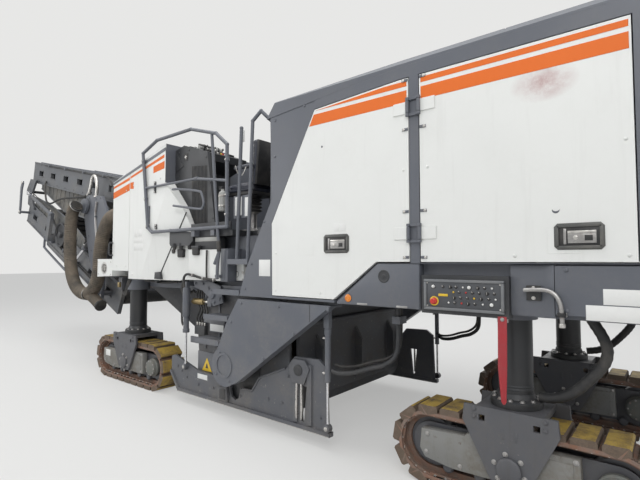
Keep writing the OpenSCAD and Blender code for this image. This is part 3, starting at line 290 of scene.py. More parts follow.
for s in ("left", "right"):
    for e in ("front", "rear"):
        # hinge knuckles are painted like the posts
        recolour(f"door_{e}_{s}", GREY, lambda c, n: abs(c.y) > 1.2605 or (abs(c.y) > 1.2512
                and -3.7 < c.x < -3.613))
    # the side plate's two lift rods
    recolour(f"side_plate_{s}", CHROME, lambda c, n: abs(c.y) > 1.1045 and c.z > 0.236 and abs(n.z) < 0.5
             and (abs(c.x + 2.76) < 0.017 or abs(c.x + 0.7) < 0.017))
recolour("front_body", GREY, lambda c, n: (n.z > 0.85 and c.z > 2.6) or (n.x < -0.9
        and abs(c.x + 0.43) < 0.01))
recolour("vent_box", DARK, lambda c, n: 1.1 < c.y < 1.147 and math.hypot(c.x - 1.25, c.z - 1.525) < 0.09)
recolour("platform", RUBBER, lambda c, n: c.z < 1.797)
recolour("lamps", REDP, lambda c, n: c.x < -5.0)


# mesh pieces
X, Y, Z = (1, 0, 0), (0, 1, 0), (0, 0, 1)
SIX = [(0, 3, 2, 1), (4, 5, 6, 7), (0, 1, 5, 4), (1, 2, 6, 5), (2, 3, 7, 6), (3, 0, 4, 7)]


def axes(d):
    """Two unit vectors square to d."""
    d = d.normalized()
    u = d.orthogonal().normalized()
    if abs(d.z) < 0.9:
        u = Vector((0, 0, 1)).cross(d).normalized()
    return u, d.cross(u).normalized()


def circle_points(c, r, u, v, n, turn=0.0):
    steps = [turn + 2 * math.pi * k / n for k in range(n)]
    return [c + r * (u * math.cos(a) + v * math.sin(a)) for a in steps]


def ring_places(x, z, r, n, turn=0.0):
    """Places (x, z) of n points on a circle."""
    return [(x + r * math.cos(a), z + r * math.sin(a)) for a in (turn + i * 2 * math.pi / n
                                                                 for i in range(n))]


class Piece:
    """Collects solids in one mesh, mirrored where k is -1; done() shades it and lets it ride."""

    def __init__(self, name, body, *mats, place=None, k=1):
        self.name, self.body, self.mats, self.place = name, body, mats, place
        self.k = k
        self.bm = bmesh.new()

    def vert(self, p):
        """New vertex; k = -1 mirrors it to the right side."""
        return self.bm.verts.new((p[0], self.k * p[1], p[2]))

    def faces(self, pts, faces, m=0):
        vs = [self.vert(p) for p in pts]
        for f in faces:
            self.bm.faces.new([vs[i] for i in f]).material_index = m

    def box(self, lo, hi, m):
        """Box between two opposite corners."""
        x, y, z = map(sorted, zip(lo, hi))
        self.faces([(x[i], y[j], c) for c in z for i, j in ((0, 0), (1, 0), (1, 1), (0, 1))], SIX, m)

    def prism(self, outline, y0, y1, m=0, plane="xz"):
        """Outline of (x, z) points between two y; plane "xy" goes between two z, "yz" between two x."""
        put = {"xz": lambda a, b, t: (a, t, b), "xy": lambda a, b, t: (a, b, t), "yz": lambda a, b,
               t: (t, a, b)}[plane]
        n = len(outline)
        pts = [put(a, b, y0) for a, b in outline] + [put(a, b, y1) for a, b in outline]
        faces = [tuple(range(n)), tuple(range(2 * n - 1, n - 1, -1))]
        faces += [(i, i + n, (i + 1) % n + n, (i + 1) % n) for i in range(n)]
        self.faces(pts, faces, m)

    def cyl(self, a, b, r, m, n, r2=None, turn=0.0):
        a, b = Vector(a), Vector(b)
        u, v = axes(b - a)
        r2 = r if r2 is None else r2
        pts = circle_points(a, r, u, v, n, turn) + circle_points(b, r2, u, v, n, turn)
        faces = [tuple(range(n - 1, -1, -1)), tuple(range(n, 2 * n))]
        faces += [(k, (k + 1) % n, (k + 1) % n + n, k + n) for k in range(n)]
        self.faces(pts, faces, m)

    def tube(self, pts, r, m, n, closed=False):
        """Round bar along points; r may be a list, one radius a point."""
        pts = [Vector(p) for p in pts]
        k = len(pts)
        rs = r if isinstance(r, (list, tuple)) else [r] * k
        ahead = [(i + 1) % k if closed else min(i + 1, k - 1) for i in range(k)]
        behind = [(i - 1) % k if closed else max(i - 1, 0) for i in range(k)]
        t = [(pts[ahead[i]] - pts[behind[i]]).normalized() for i in range(k)]
        u = axes(t[0])[0]
        rings = []
        for i in range(k):
            u = (u - t[i] * u.dot(t[i])).normalized()
            v = t[i].cross(u)
            rings.append([self.vert(q) for q in circle_points(pts[i], rs[i], u, v, n)])
        for i in range(k if closed else k - 1):
            a, b = rings[i], rings[(i + 1) % k]
            for j in range(n):
                self.bm.faces.new((a[j], a[(j + 1) % n], b[(j + 1) % n], b[j])).material_index = m
        if not closed:
            self.bm.faces.new(rings[0][::-1]).material_index = m
            self.bm.faces.new(rings[-1]).material_index = m

    def lathe(self, centre, axis, profile, m, n=32):
        """Profile of (radius, distance along axis) turned round the axis."""
        c = Vector(centre)
        d = Vector(axis).normalized()
        u, v = axes(d)
        rings = []
        for r, h in profile:
            if r < 1e-6:
                rings.append([self.vert(c + d * h)])
            else:
                rings.append([self.vert(q) for q in circle_points(c + d * h, r, u, v, n)])
        for a, b in zip(rings, rings[1:]):
            for k in range(n):
                q = (k + 1) % n
                if len(a) == 1:
                    f = (a[0], b[q], b[k])
                elif len(b) == 1:
                    f = (a[k], a[q], b[0])
                else:
                    f = (a[k], a[q], b[q], b[k])
                self.bm.faces.new(f).material_index = m

    def ring(self, x, y, z, r, thick, m, n, sides):
        """Closed round ring in a plane square to y."""
        self.tube([(u, y, w) for u, w in ring_places(x, z, r, n)], thick, m, sides, closed=True)

    def bolt(self, p, axis, r, h, m):
        """Washer and hexagon head standing off p along axis."""
        p, d = Vector(p), Vector(axis).normalized()
        self.cyl(p - d * 0.001, p + d * h * 0.3, r * 1.45, m, 14)
        self.cyl(p, p + d * h, r, m, 6, turn=random.random())

    def bolts(self, y, r, h, m, *places):
        """Bolts that stand off a side face at y, one at each place (x, z)."""
        for x, z in places:
            self.bolt((x, y, z), Y, r, h, m)

    def pipe(self, route, r, m, n=10, fine=6):
        """Round bar along a smooth line through the points of a route."""
        self.tube(curve_points(route, fine), r, m, n)

    def done(self, bevel=0.0, smooth=True):
        bm = self.bm
        if self.place is not None:
            bmesh.ops.transform(bm, matrix=self.place, verts=bm.verts)
        bmesh.ops.recalc_face_normals(bm, faces=bm.faces)
        me = bpy.data.meshes.new(self.name)
        bm.to_mesh(me)
        bm.free()
        ob = bpy.data.objects.new(self.name, me)
        bpy.context.scene.collection.objects.link(ob)
        for m in self.mats:
            me.materials.append(m)
        if bevel:
            mod = ob.modifiers.new("bevel", "BEVEL")
            mod.width = bevel
            mod.segments = 2
            mod.limit_method = "ANGLE"
            mod.angle_limit = math.radians(40)
            dg = bpy.context.evaluated_depsgraph_get()
            new = bpy.data.meshes.new_from_object(ob.evaluated_get(dg))
            ob.modifiers.clear()
            ob.data = new
            bpy.data.meshes.remove(me)
            new.name = self.name
            me = new
        me.polygons.foreach_set("use_smooth", [smooth] * len(me.polygons))
        if smooth:
            b = bmesh.new()
            b.from_mesh(me)
            for ed in b.edges:
                ed.smooth = len(ed.link_faces) == 2 and ed.calc_face_angle(0) < math.radians(35)
            b.to_mesh(me)
            b.free()
        if self.body:
            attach(ob, self.body)
        return ob


def curve_points(pts, n):
    """Smooth line through points (Catmull-Rom), n steps between two of them."""
    p = [Vector(q) for q in pts]
    p = [p[0] * 2 - p[1]] + p + [p[-1] * 2 - p[-2]]
    out = []
    for i in range(1, len(p) - 2):
        for k in range(n):
            t = k / n
            a, b, c, d = p[i - 1], p[i], p[i + 1], p[i + 2]
            bend = (2 * a - 5 * b + 4 * c - d) * t * t + (3 * b - a - 3 * c + d) * t ** 3
            out.append(0.5 * ((2 * b) + (c - a) * t + bend))
    out.append(p[-2])
    return out


def cut_below(outline, line):
    """Part of a convex outline (x, z) on the lower side of a line z = a + b x."""
    a, b = line
    out = []
    n = len(outline)
    for i in range(n):
        p, q = outline[i], outline[(i + 1) % n]
        dp, dq = p[1] - a - b * p[0], q[1] - a - b * q[0]
        if dp <= 0:
            out.append(p)
        if dp * dq < 0:
            t = dp / (dp - dq)
            out.append((p[0] + (q[0] - p[0]) * t, p[1] + (q[1] - p[1]) * t))
    return out


def band(outline, top, bottom):
    """Part of a convex outline between two lines (a, b)."""
    part = cut_below(outline, top)
    flip = [(x, -z) for x, z in part]
    part = cut_below(flip, (-bottom[0], -bottom[1]))
    return [(x, -z) for x, z in part]


MIR = {"left": 1, "right": -1}
HALF = 1.25
CORNERS = {"front_left": (0.65, 1), "front_right": (0.65, -1), "rear_left": (-4.25, 1),
           "rear_right": (-4.25, -1)}
COL_Y = 0.95


# doors
FRONT_DOOR = [(-3.613, 1.622), (-3.329, 1.622), (-2.917, 1.313), (-2.215, 1.313), (-2.205, 1.973),
              (-2.718, 2.937), (-3.54, 2.985), (-3.613, 2.985)]
REAR_DOOR = [(-4.97, 1.622), (-3.702, 1.622), (-3.702, 2.985), (-4.97, 2.985)]
THIN = ((2.965, 0.0), (2.925, 0.0))
THICK = ((2.895, 0.0), (2.8, 0.0))


def inset(outline, d):
    """Outline moved inwards by d."""
    n = len(outline)
    area = sum(outline[i][0] * outline[(i + 1) % n][1] - outline[(i + 1) % n][0] * outline[i][1]
               for i in range(n))
    s = 1 if area > 0 else -1
    lines = []
    for i in range(n):
        (x0, z0), (x1, z1) = outline[i], outline[(i + 1) % n]
        dx, dz = x1 - x0, z1 - z0
        ln = math.hypot(dx, dz)
        lines.append((x0 - dz / ln * s * d, z0 + dx / ln * s * d, dx, dz))
    out = []
    for i in range(n):
        x0, z0, dx0, dz0 = lines[i - 1]
        x1, z1, dx1, dz1 = lines[i]
        det = dx0 * dz1 - dz0 * dx1
        if abs(det) < 1e-9:
            out.append((x1, z1))
        else:
            t = ((x1 - x0) * dz1 - (z1 - z0) * dx1) / det
            out.append((x0 + dx0 * t, z0 + dz0 * t))
    return out


def latch(p, x, z):
    """Recessed pull plate, 0.26 by 0.155, and its lever; materials 0 dark, 1 bright, 5 rim, 6 worn steel."""
    y = HALF
    rim = [(-0.129, -0.058), (-0.11, -0.078), (0.11, -0.078), (0.129, -0.058), (0.129, 0.058),
           (0.11, 0.078), (-0.11, 0.078), (-0.129, 0.058)]
    p.prism([(x + u, z + w) for u, w in rim], y - 0.001, y + 0.003, 5)
    p.box((x - 0.106, y, z - 0.056), (x + 0.106, y + 0.0042, z + 0.056), 0)
    for lo, hi in (((-0.122, -0.062), (-0.104, 0.062)), ((0.104, -0.062), (0.122, 0.062)),
                   ((-0.112, 0.054), (0.112, 0.071)), ((-0.112, -0.071), (0.112, -0.054))):
        p.box((x + lo[0], y + 0.002, z + lo[1]), (x + hi[0], y + 0.01, z + hi[1]), 5)
    p.box((x - 0.088, y + 0.003, z - 0.04), (x + 0.056, y + 0.008, z + 0.03), 6)
    p.box((x - 0.088, y + 0.007, z + 0.018), (x + 0.056, y + 0.011, z + 0.032), 1)
    p.box((x - 0.07, y + 0.007, z - 0.026), (x - 0.03, y + 0.0095, z + 0.006), 0)
    p.lathe((x + 0.016, y + 0.008, z - 0.008), Y, [(0.013, 0), (0.013, 0.003), (0, 0.004)], 1, 16)
    p.box((x + 0.064, y + 0.003, z - 0.046), (x + 0.078, y + 0.009, z + 0.046), 6)


def stripes(which, side, k, outline):
    p = Piece(f"stripes_{which}_{side}", f"door_{which}_{side}", ORANGE, WHITE, k=k)
    # flush cover over the bare latch pocket
    x = -4.525 if which == "rear" else -2.535
    p.box((x - 0.18, HALF - 0.0015, 1.672), (x, HALF + 0.0005, 1.818), 1)
    edge = inset(outline, 0.012)
    for top, bottom in (THIN, THICK):
        part = band(edge, top, bottom)
        if len(part) > 2:
            p.prism(part, HALF - 0.0005, HALF + 0.0012)
    p.done()


def door_trim(which, side, k):
    """Latch, rim screws, small blank labels, and the clips on the hinge edge."""
    p = Piece(f"door_trim_{which}_{side}", f"door_{which}_{side}", PLASTIC, BRIGHT, GREY, WHITE, LABEL,
              BEZEL, STEEL, k=k)
    if which == "rear":
        latch(p, -4.692, 1.772)
        p.bolts(HALF, 0.008, 0.004, 3, (-4.93, 1.66), (-4.93, 2.3), (-3.76, 2.3), (-4.34, 1.66))
    else:
        latch(p, -2.949, 1.77)
        p.bolts(HALF, 0.008, 0.004, 3, (-3.57, 1.66), (-3.57, 2.3), (-2.26, 1.36), (-2.26, 1.7),
                (-2.78, 1.36))
        p.box((-3.046, HALF, 1.872), (-2.985, HALF + 0.0012, 1.935), 4)
        p.box((-2.975, HALF, 1.872), (-2.925, HALF + 0.0012, 1.935), 4)
    if which == "rear" and k > 0:
        # grey crescent of a small dent: painted shade in the dent, coloured like chipped paint
        turns = [math.pi * (1.05 + 0.1 * i) for i in range(10)]
        arc = [(-4.575 + 0.021 * math.cos(a), 1.933 + 0.021 * math.sin(a)) for a in turns]
        cut = [(-4.577 + 0.021 * math.cos(a), 1.941 + 0.016 * math.sin(a)) for a in turns[::-1]]
        p.prism(arc + cut, HALF - 0.0005, HALF + 0.0008, 2)
    # clips of the hinge rod on the door's edge
    edge, step = (-3.702, -1) if which == "rear" else (-3.613, 1)
    for z in (1.655, 1.99, 2.6, 2.97):
        p.box((edge + step * 0.002, HALF - 0.001, z - 0.01), (edge + step * 0.05, HALF + 0.006, z + 0.01), 2)
        p.bolt((edge + step * 0.038, HALF + 0.006, z), Y, 0.007, 0.004, 1)
    p.done(0.0015)


for side, k in MIR.items():
    for which, outline in (("rear", REAR_DOOR), ("front", FRONT_DOOR)):
        stripes(which, side, k, outline)
        door_trim(which, side, k)


# front body: stripes along the sloping top, seams, fittings
def body_top(x):
    return 2.641 + 0.2515 * (0.895 - x)


def slope_band(x0, x1, d0, d1):
    """Band under the sloping top edge between two depths."""
    return [(x0, body_top(x0) - d0), (x1, body_top(x1) - d0 + 0.02), (x1, body_top(x1) - d1 + 0.03),
            (x0, body_top(x0) - d1)]


def facet_y(x, z):
    """Outer face of the folded rear part of the front body's side."""
    ux, uz = 0.4607, -0.8876
    d = ux * (z - 2.453) - uz * (x + 0.449)
    return HALF + min(0.0, d * math.tan(math.radians(8)))


for side, k in MIR.items():
    p = Piece(f"body_stripes_{side}", "chassis", ORANGE, GREY, k=k)
    y0, y1 = HALF - 0.0005, HALF + 0.0012
    p.prism(slope_band(-0.405, 0.374, 0.07, 0.108), y0, y1)
    p.prism(slope_band(0.39, 0.81, 0.052, 0.09), y0, y1)
    p.prism(slope_band(-0.41, -0.17, 0.15, 0.24), y0, y1)
    p.prism(slope_band(0.29, 0.374, 0.15, 0.24), y0, y1)
    p.prism(slope_band(0.39, 0.81, 0.13, 0.225), y0, y1)
    # round the cut corner of the nose
    p.faces([(0.8165, 1.2512, 2.56), (0.952, 1.064, 2.525), (0.952, 1.064, 2.435), (0.8165, 1.2512,
            2.465)], [(0, 1, 2, 3)])
    # edge of the dark roof cover
    p.prism(slope_band(-0.428, 0.82, -0.004, 0.034), HALF - 0.001, HALF + 0.0045, 1)
    p.done()

    p = Piece(f"body_fittings_{side}", "chassis", DARK, BRIGHT, PLASTIC, LABEL, RUBBER, WHITE, k=k)
    # dark gasket down the slanted seam behind the fold and the dark corner piece at the top of the nose
    a, b = (-0.781, 2.185), (-0.288, 1.47)
    n = 10
    for i in range(n):
        t0, t1 = i / n, (i + 1) / n
        pa = (a[0] + (b[0] - a[0]) * t0, a[1] + (b[1] - a[1]) * t0)
        pb = (a[0] + (b[0] - a[0]) * t1, a[1] + (b[1] - a[1]) * t1)
        ya, yb = facet_y(*pa), facet_y(*pb)
        w = 0.011
        p.faces([(pa[0] - w, ya + 0.0005, pa[1]), (pa[0] + w, ya + 0.0035, pa[1]), (pb[0] + w, yb + 0.0035,
                pb[1]), (pb[0] - w, yb + 0.0005, pb[1])], [(0, 1, 2, 3)], 4)
    p.prism([(0.818, 2.64), (0.872, 2.628), (0.872, 2.48), (0.818, 2.492)], HALF - 0.06, HALF + 0.004, 0)
    for x, z, h in ((-0.222, 2.52, 0.145), (-0.25, 2.04, 0.062)):
        p.prism([(x - 0.018, z - h / 2), (x + 0.018, z - h / 2 + 0.004), (x + 0.018, z + h / 2),
                 (x - 0.018, z + h / 2 - 0.004)], HALF, HALF + 0.012, 0)
        for dz in (-h / 2 + 0.014, h / 2 - 0.014):
            p.bolt((x, HALF + 0.012, z + dz), Y, 0.007, 0.004, 1)
    # grab hook at the lower front corner and the foot of the folded part
    p.pipe([(0.8, 1.25, 1.87), (0.82, 1.29, 1.86), (0.822, 1.29, 1.715), (0.8, 1.25, 1.705)], 0.011, 0, 10, 5)
    y = facet_y(-0.27, 1.46)
    p.prism([(-0.345, 1.412), (-0.205, 1.412), (-0.215, 1.492), (-0.318, 1.498)], y, y + 0.03, 0)
    # blank plates
    for x0, x1, z0, z1 in ((0.05, 0.262, 1.86, 1.905), (0.045, 0.255, 1.76, 1.842), (0.06, 0.15, 1.935,
            2.025), (0.17, 0.25, 1.93, 2.035)):
        p.box((x0, HALF, z0), (x1, HALF + 0.0016, z1), 3)
    p.bolts(HALF, 0.009, 0.004, 5, (0.47, 1.56), (0.47, 2.55), (0.29, 2.6), (0.29, 1.46), (-0.32, 2.62),
            (0.7, 1.56))
    p.done(0.001)

# small handrail of the operator's place, a bent D outside the front body
for side, k in MIR.items():
    p = Piece(f"grab_rail_{side}", "chassis", GREY, k=k)
    route = [(-0.6, 1.262, 2.455), (-0.76, 1.272, 2.44), (-1.105, 1.272, 2.385), (-1.165, 1.272, 2.35),
             (-1.205, 1.272, 2.25), (-1.185, 1.272, 2.205), (-1.12, 1.272, 2.19), (-0.64, 1.272, 2.262)]
    p.pipe(route, 0.013, 0, 12)
    p.done()


# tracks: pads, chain, hubs and covers
END_R, END_X, CHAIN_R = 0.285, 0.58, 0.237
PADS = 23
STRAIGHT = 2 * END_X
LOOP = 2 * STRAIGHT + 2 * math.pi * CHAIN_R


def on_loop(s):
    """Point (dx, z) of the chain at distance s from the middle of the top run, and its outward direction."""
    a, arc = STRAIGHT / 2, math.pi * CHAIN_R
    if s < a:
        return s, END_R + CHAIN_R, 0.0, 1.0
    if s < a + arc:
        t = (s - a) / CHAIN_R
        return END_X + CHAIN_R * math.sin(t), END_R + CHAIN_R * math.cos(t), math.sin(t), math.cos(t)
    if s < a + arc + STRAIGHT:
        return END_X - (s - a - arc), END_R - CHAIN_R, 0.0, -1.0
    if s < a + 2 * arc + STRAIGHT:
        t = math.pi + (s - a - arc - STRAIGHT) / CHAIN_R
        return -END_X + CHAIN_R * math.sin(t), END_R + CHAIN_R * math.cos(t), math.sin(t), math.cos(t)
    return -END_X + (s - a - 2 * arc - STRAIGHT), END_R + CHAIN_R, 0.0, 1.0


def paint_track(obj, cx):
    """Pads yellow on their worn faces and brown at their edges, the chain dark."""
    me = obj.data
    me.materials.clear()
    for m in (CHAIN, PAD, PAD_EDGE):
        me.materials.append(m)
    for f in me.polygons:
        c, n = f.center, f.normal
        dx, dz = c.x - cx, c.z - END_R
        ex = max(-END_X, min(END_X, dx))
        d = math.hypot(dx - ex, dz)
        if d < CHAIN_R + 0.003:
            f.material_index = 0
            continue
        out = Vector((dx - ex, 0, dz)).normalized()
        f.material_index = 1 if n.dot(out) > 0.75 else 2


def chain_and_bolts(name, body, place):
    """Link plates with pins at both sides of the chain, shoe ends and the bolts of the pads."""
    p = Piece(name, body, CHAIN, BRIGHT, place=place)
    pitch = LOOP / PADS
    link = ((-0.462, -0.036), (0.462, -0.036), (0.518, -0.018), (0.462, -0.004), (-0.462, -0.004),
            (-0.518, -0.018))
    lug = ((-0.3, -0.022), (0.3, -0.022), (0.36, -0.002), (-0.36, -0.002))
    for i in range(PADS):
        x, z, ox, oz = on_loop((i + 0.5) * pitch)

        def at(u, w):
            return x + oz * u * pitch + ox * w, z - ox * u * pitch + oz * w

        for p.k in (-1, 1):
            p.prism([at(*q) for q in link], 0.112, 0.126)
            # lug of the shoe at its outer end
            p.prism([at(*q) for q in lug], 0.122, 0.148)
            for bx, bz in ((x + oz * q * pitch - ox * 0.02, z - ox * q * pitch - oz * 0.02)
                           for q in (-0.24, 0.24)):
                p.cyl((bx, 0.126, bz), (bx, 0.134, bz), 0.011, 1, 8)
    p.done()


def track_frame(name, body, place, k):
    """Side covers of the track frame, hub covers, rollers' ends and bolts; the yoke's lower end."""
    p = Piece(name, body, TRACK_COVER, YOKE, STEEL, SHADED_GREY, HUB, LABEL, place=place)
    for p.k in (1, -1):
        p.prism([(-0.405, 0.185), (0.4, 0.17), (0.6, 0.2), (0.64, 0.262), (0.625, 0.4), (0.3, 0.418),
                 (0.29, 0.44), (-0.395, 0.44)], 0.088, 0.158, 0)
        # pressed rib on the cover
        p.prism([(-0.36, 0.225), (-0.06, 0.225), (-0.06, 0.405), (-0.36, 0.405)], 0.157, 0.163, 0)
        p.bolts(0.158, 0.012, 0.01, 2, (-0.375, 0.205), (-0.375, 0.422), (-0.03, 0.205), (0.34, 0.2),
                (0.59, 0.24), (0.58, 0.37))
        # drive hub at the rear with its bolt ring, and the rollers' ends
        p.lathe((-END_X, 0.09, END_R), Y, [(0, 0), (0.112, 0), (0.112, 0.03), (0.1, 0.042), (0.098, 0.07),
                                           (0.06, 0.082), (0, 0.082)], 4)
        p.bolts(0.158, 0.009, 0.009, 2, *ring_places(-END_X, END_R, 0.085, 10))
        for x in (-0.45, -0.225, 0.0, 0.225, 0.45):
            p.lathe((x, 0.08, 0.142), Y, [(0, 0), (0.04, 0), (0.04, 0.02), (0.028, 0.03), (0, 0.032)], 1, 20)
    if "front" in name:
        p.k = k
        p.box((0.445, 0.158, 0.3), (0.575, 0.16, 0.385), 5)
    # yoke: pinch slots, nuts and clamp at its lower end
    for p.k in (1, -1):
        for x in (-0.045, 0.035):
            p.prism([(x - 0.008, 0.47), (x + 0.008, 0.47), (x + 0.008, 0.53), (x - 0.008, 0.53)], 0.196,
                    0.2, 1)
        p.lathe((0, 0.211, END_R), Y, [(0.078, -0.012), (0.078, 0.004), (0.06, 0.012), (0, 0.012)], 1)
        p.bolts(0.198, 0.012, 0.01, 2, *ring_places(0, END_R, 0.098, 6, 0.3))
        p.bolts(0.198, 0.012, 0.01, 1, (-0.22, 0.585), (-0.22, 0.635), (0.22, 0.585), (0.22, 0.635))
    p.done(0.003)


for corner, (cx, k) in CORNERS.items():
    place = Matrix.Translation((cx, k * COL_Y, 0))
    body = f"running_gear_{corner}"
    paint_track(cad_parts[f"track_{corner}"], cx)
    chain_and_bolts(f"chain_links_{corner}", body, place)
    track_frame(f"track_covers_{corner}", body, place, k)
    # wear rings on the leg tube, and a bolted flange at its foot
    p = Piece(f"leg_trim_{corner}", f"leg_{corner}", DARK, STEEL, place=place)
    for z in (0.77, 0.79):
        p.lathe((0, 0, z), Z, [(0.11, 0), (0.1125, 0.003), (0.1125, 0.012), (0.11, 0.015)], 0, 40)
    p.lathe((0, 0, 0.698), Z, [(0.165, 0), (0.15, 0.012), (0.122, 0.016), (0.116, 0.05), (0.11, 0.052)], 0,
            40)
    for x, y in ring_places(0, 0, 0.14, 12):
        p.bolt((x, y, 0.708), Z, 0.013, 0.012, 1)
    p.done(0.001)




# side gate, drum housing and the machinery beside them
def gate_trim(side, k):
    """Details that move with a side plate: shoe wear strip, clips, slot guide, bolts and blank plates."""
    p = Piece(f"gate_trim_{side}", f"plate_{side}", GATE, BRIGHT, YELLOWP, LABEL, CHAIN, DARK, k=k)
    y = 1.1
    # clip in the middle of the plate, with a dark plate on it for its folded recess: painted shade of the
    # recess
    p.prism([(-1.446, 0.165), (-1.3, 0.165), (-1.292, 0.292), (-1.44, 0.318)], y, y + 0.034, 0)
    p.prism([(-1.425, 0.185), (-1.33, 0.185), (-1.33, 0.285), (-1.42, 0.295)], y + 0.033, y + 0.04, 5)
    p.prism([(-2.35, 0.52), (-2.3, 0.66), (-2.36, 0.735), (-2.5, 0.735), (-2.555, 0.66), (-2.49, 0.52)],
            y + 0.012, y + 0.026, 0)
    p.lathe((-2.425, y + 0.026, 0.64), Y, [(0.05, 0), (0.05, 0.008), (0.02, 0.014), (0, 0.014)], 5, 24)
    p.prism([(-2.462, 0.525), (-2.472, 0.3), (-2.462, 0.205), (-2.448, 0.205), (-2.446, 0.525)], y + 0.002,
            y + 0.022, 1)
    p.prism([(-2.408, 0.525), (-2.406, 0.205), (-2.392, 0.205), (-2.384, 0.3), (-2.392, 0.525)], y + 0.002,
            y + 0.022, 1)
    p.bolts(y, 0.013, 0.01, 0, (-2.56, 0.6), (-2.56, 0.42), (-2.28, 0.56), (-2.66, 0.26), (-2.2, 0.3),
            (-2.02, 0.3), (-1.62, 0.255), (-1.18, 0.26), (-0.92, 0.255), (-0.7, 0.3), (-0.6, 0.36),
            (-0.52, 0.4))
    # edge lip along the top of the plate
    lip = [(-2.245, 0.625), (-1.905, 0.488), (-1.795, 0.338), (-1.66, 0.338)]
    for (xa, za), (xb, zb) in zip(lip, lip[1:]):
        p.tube([(xa, y + 0.006, za), (xb, y + 0.006, zb)], 0.01, 0, 8)
    # blank plate
    p.box((-1.075, 1.1, 0.318), (-0.9, 1.1018, 0.372), 3)
    # bright worn sole
    for x0, x1 in ((-2.77, -2.1), (-2.095, -1.4), (-1.395, -0.56)):
        p.box((x0, 1.06, 0.119), (x1, 1.124, 0.126), 1)
    # lower eyes of the lift rods
    for ex, ez in ((-2.76, 0.2), (-0.7, 0.42)):
        p.lathe((ex, 1.108, ez), Y, [(0.034, 0), (0.034, 0.042), (0.026, 0.046), (0.014, 0.046),
                                     (0, 0.046)], 0, 20)
        p.bolt((ex, 1.154, ez), Y, 0.013, 0.006, 1)
    p.done(0.002)


def ram_trim(side, k):
    """Glands, ports and hoses of the side plates' lift cylinders, on the frame."""
    p = Piece(f"gate_rams_{side}", "chassis", GREY, BRIGHT, RUBBER, DARK, k=k)
    for x, z0, z1, r in ((-2.76, 0.6, 1.05, 0.025), (-0.7, 0.82, 1.33, 0.032)):
        lip = 0.001 if r < 0.03 else 0.006
        p.lathe((x, 1.12, z0 - 0.012), Z, [(0.0155, 0), (r + lip, 0), (r + lip, 0.04), (r, 0.044)], 0, 28)
        p.lathe((x, 1.12, z1 - 0.06), Z, [(r, 0), (r + 0.005, 0.003), (r + 0.005, 0.05), (r, 0.053)], 0, 28)
        for z in (z0 + 0.06, z1 - 0.09):
            p.cyl((x + r * 0.8, 1.12, z), (x + r + 0.026, 1.12, z), 0.011, 1, 8)
    route = [(-0.642, 1.12, 1.24), (-0.618, 1.125, 1.3), (-0.64, 1.125, 1.38), (-0.7, 1.12, 1.48),
             (-0.79, 1.105, 1.492), (-0.85, 1.09, 1.44), (-0.87, 1.07, 1.36)]
    p.pipe(route, 0.015, 2, 12, 8)
    route = [(-0.642, 1.12, 0.88), (-0.61, 1.115, 0.93), (-0.6, 1.105, 1.08), (-0.64, 1.08, 1.22),
             (-0.76, 1.06, 1.29)]
    p.pipe(route, 0.012, 2, 12, 8)
    # thicker upper jacket, and a pipe run with a hose along it and a small box behind the rear ram
    p.lathe((-0.7, 1.12, 0.985), Z, [(0.032, 0), (0.044, 0.006), (0.044, 0.33), (0.032, 0.336)], 0, 28)
    route = [(-2.792, 1.11, 0.69), (-2.86, 1.08, 0.672), (-2.98, 1.045, 0.69), (-3.12, 1.01, 0.74),
             (-3.24, 0.985, 0.78), (-3.33, 0.96, 0.86), (-3.35, 0.95, 1.0), (-3.35, 0.95, 1.26)]
    p.pipe(route, 0.02, 3, 12)
    p.tube(curve_points([(x, y - 0.05, z + 0.045) for x, y, z in route], 6), 0.013, 2, 10)
    p.box((-3.385, 0.87, 1.12), (-3.315, 0.985, 1.18), 0)
    p.done(0.0015)


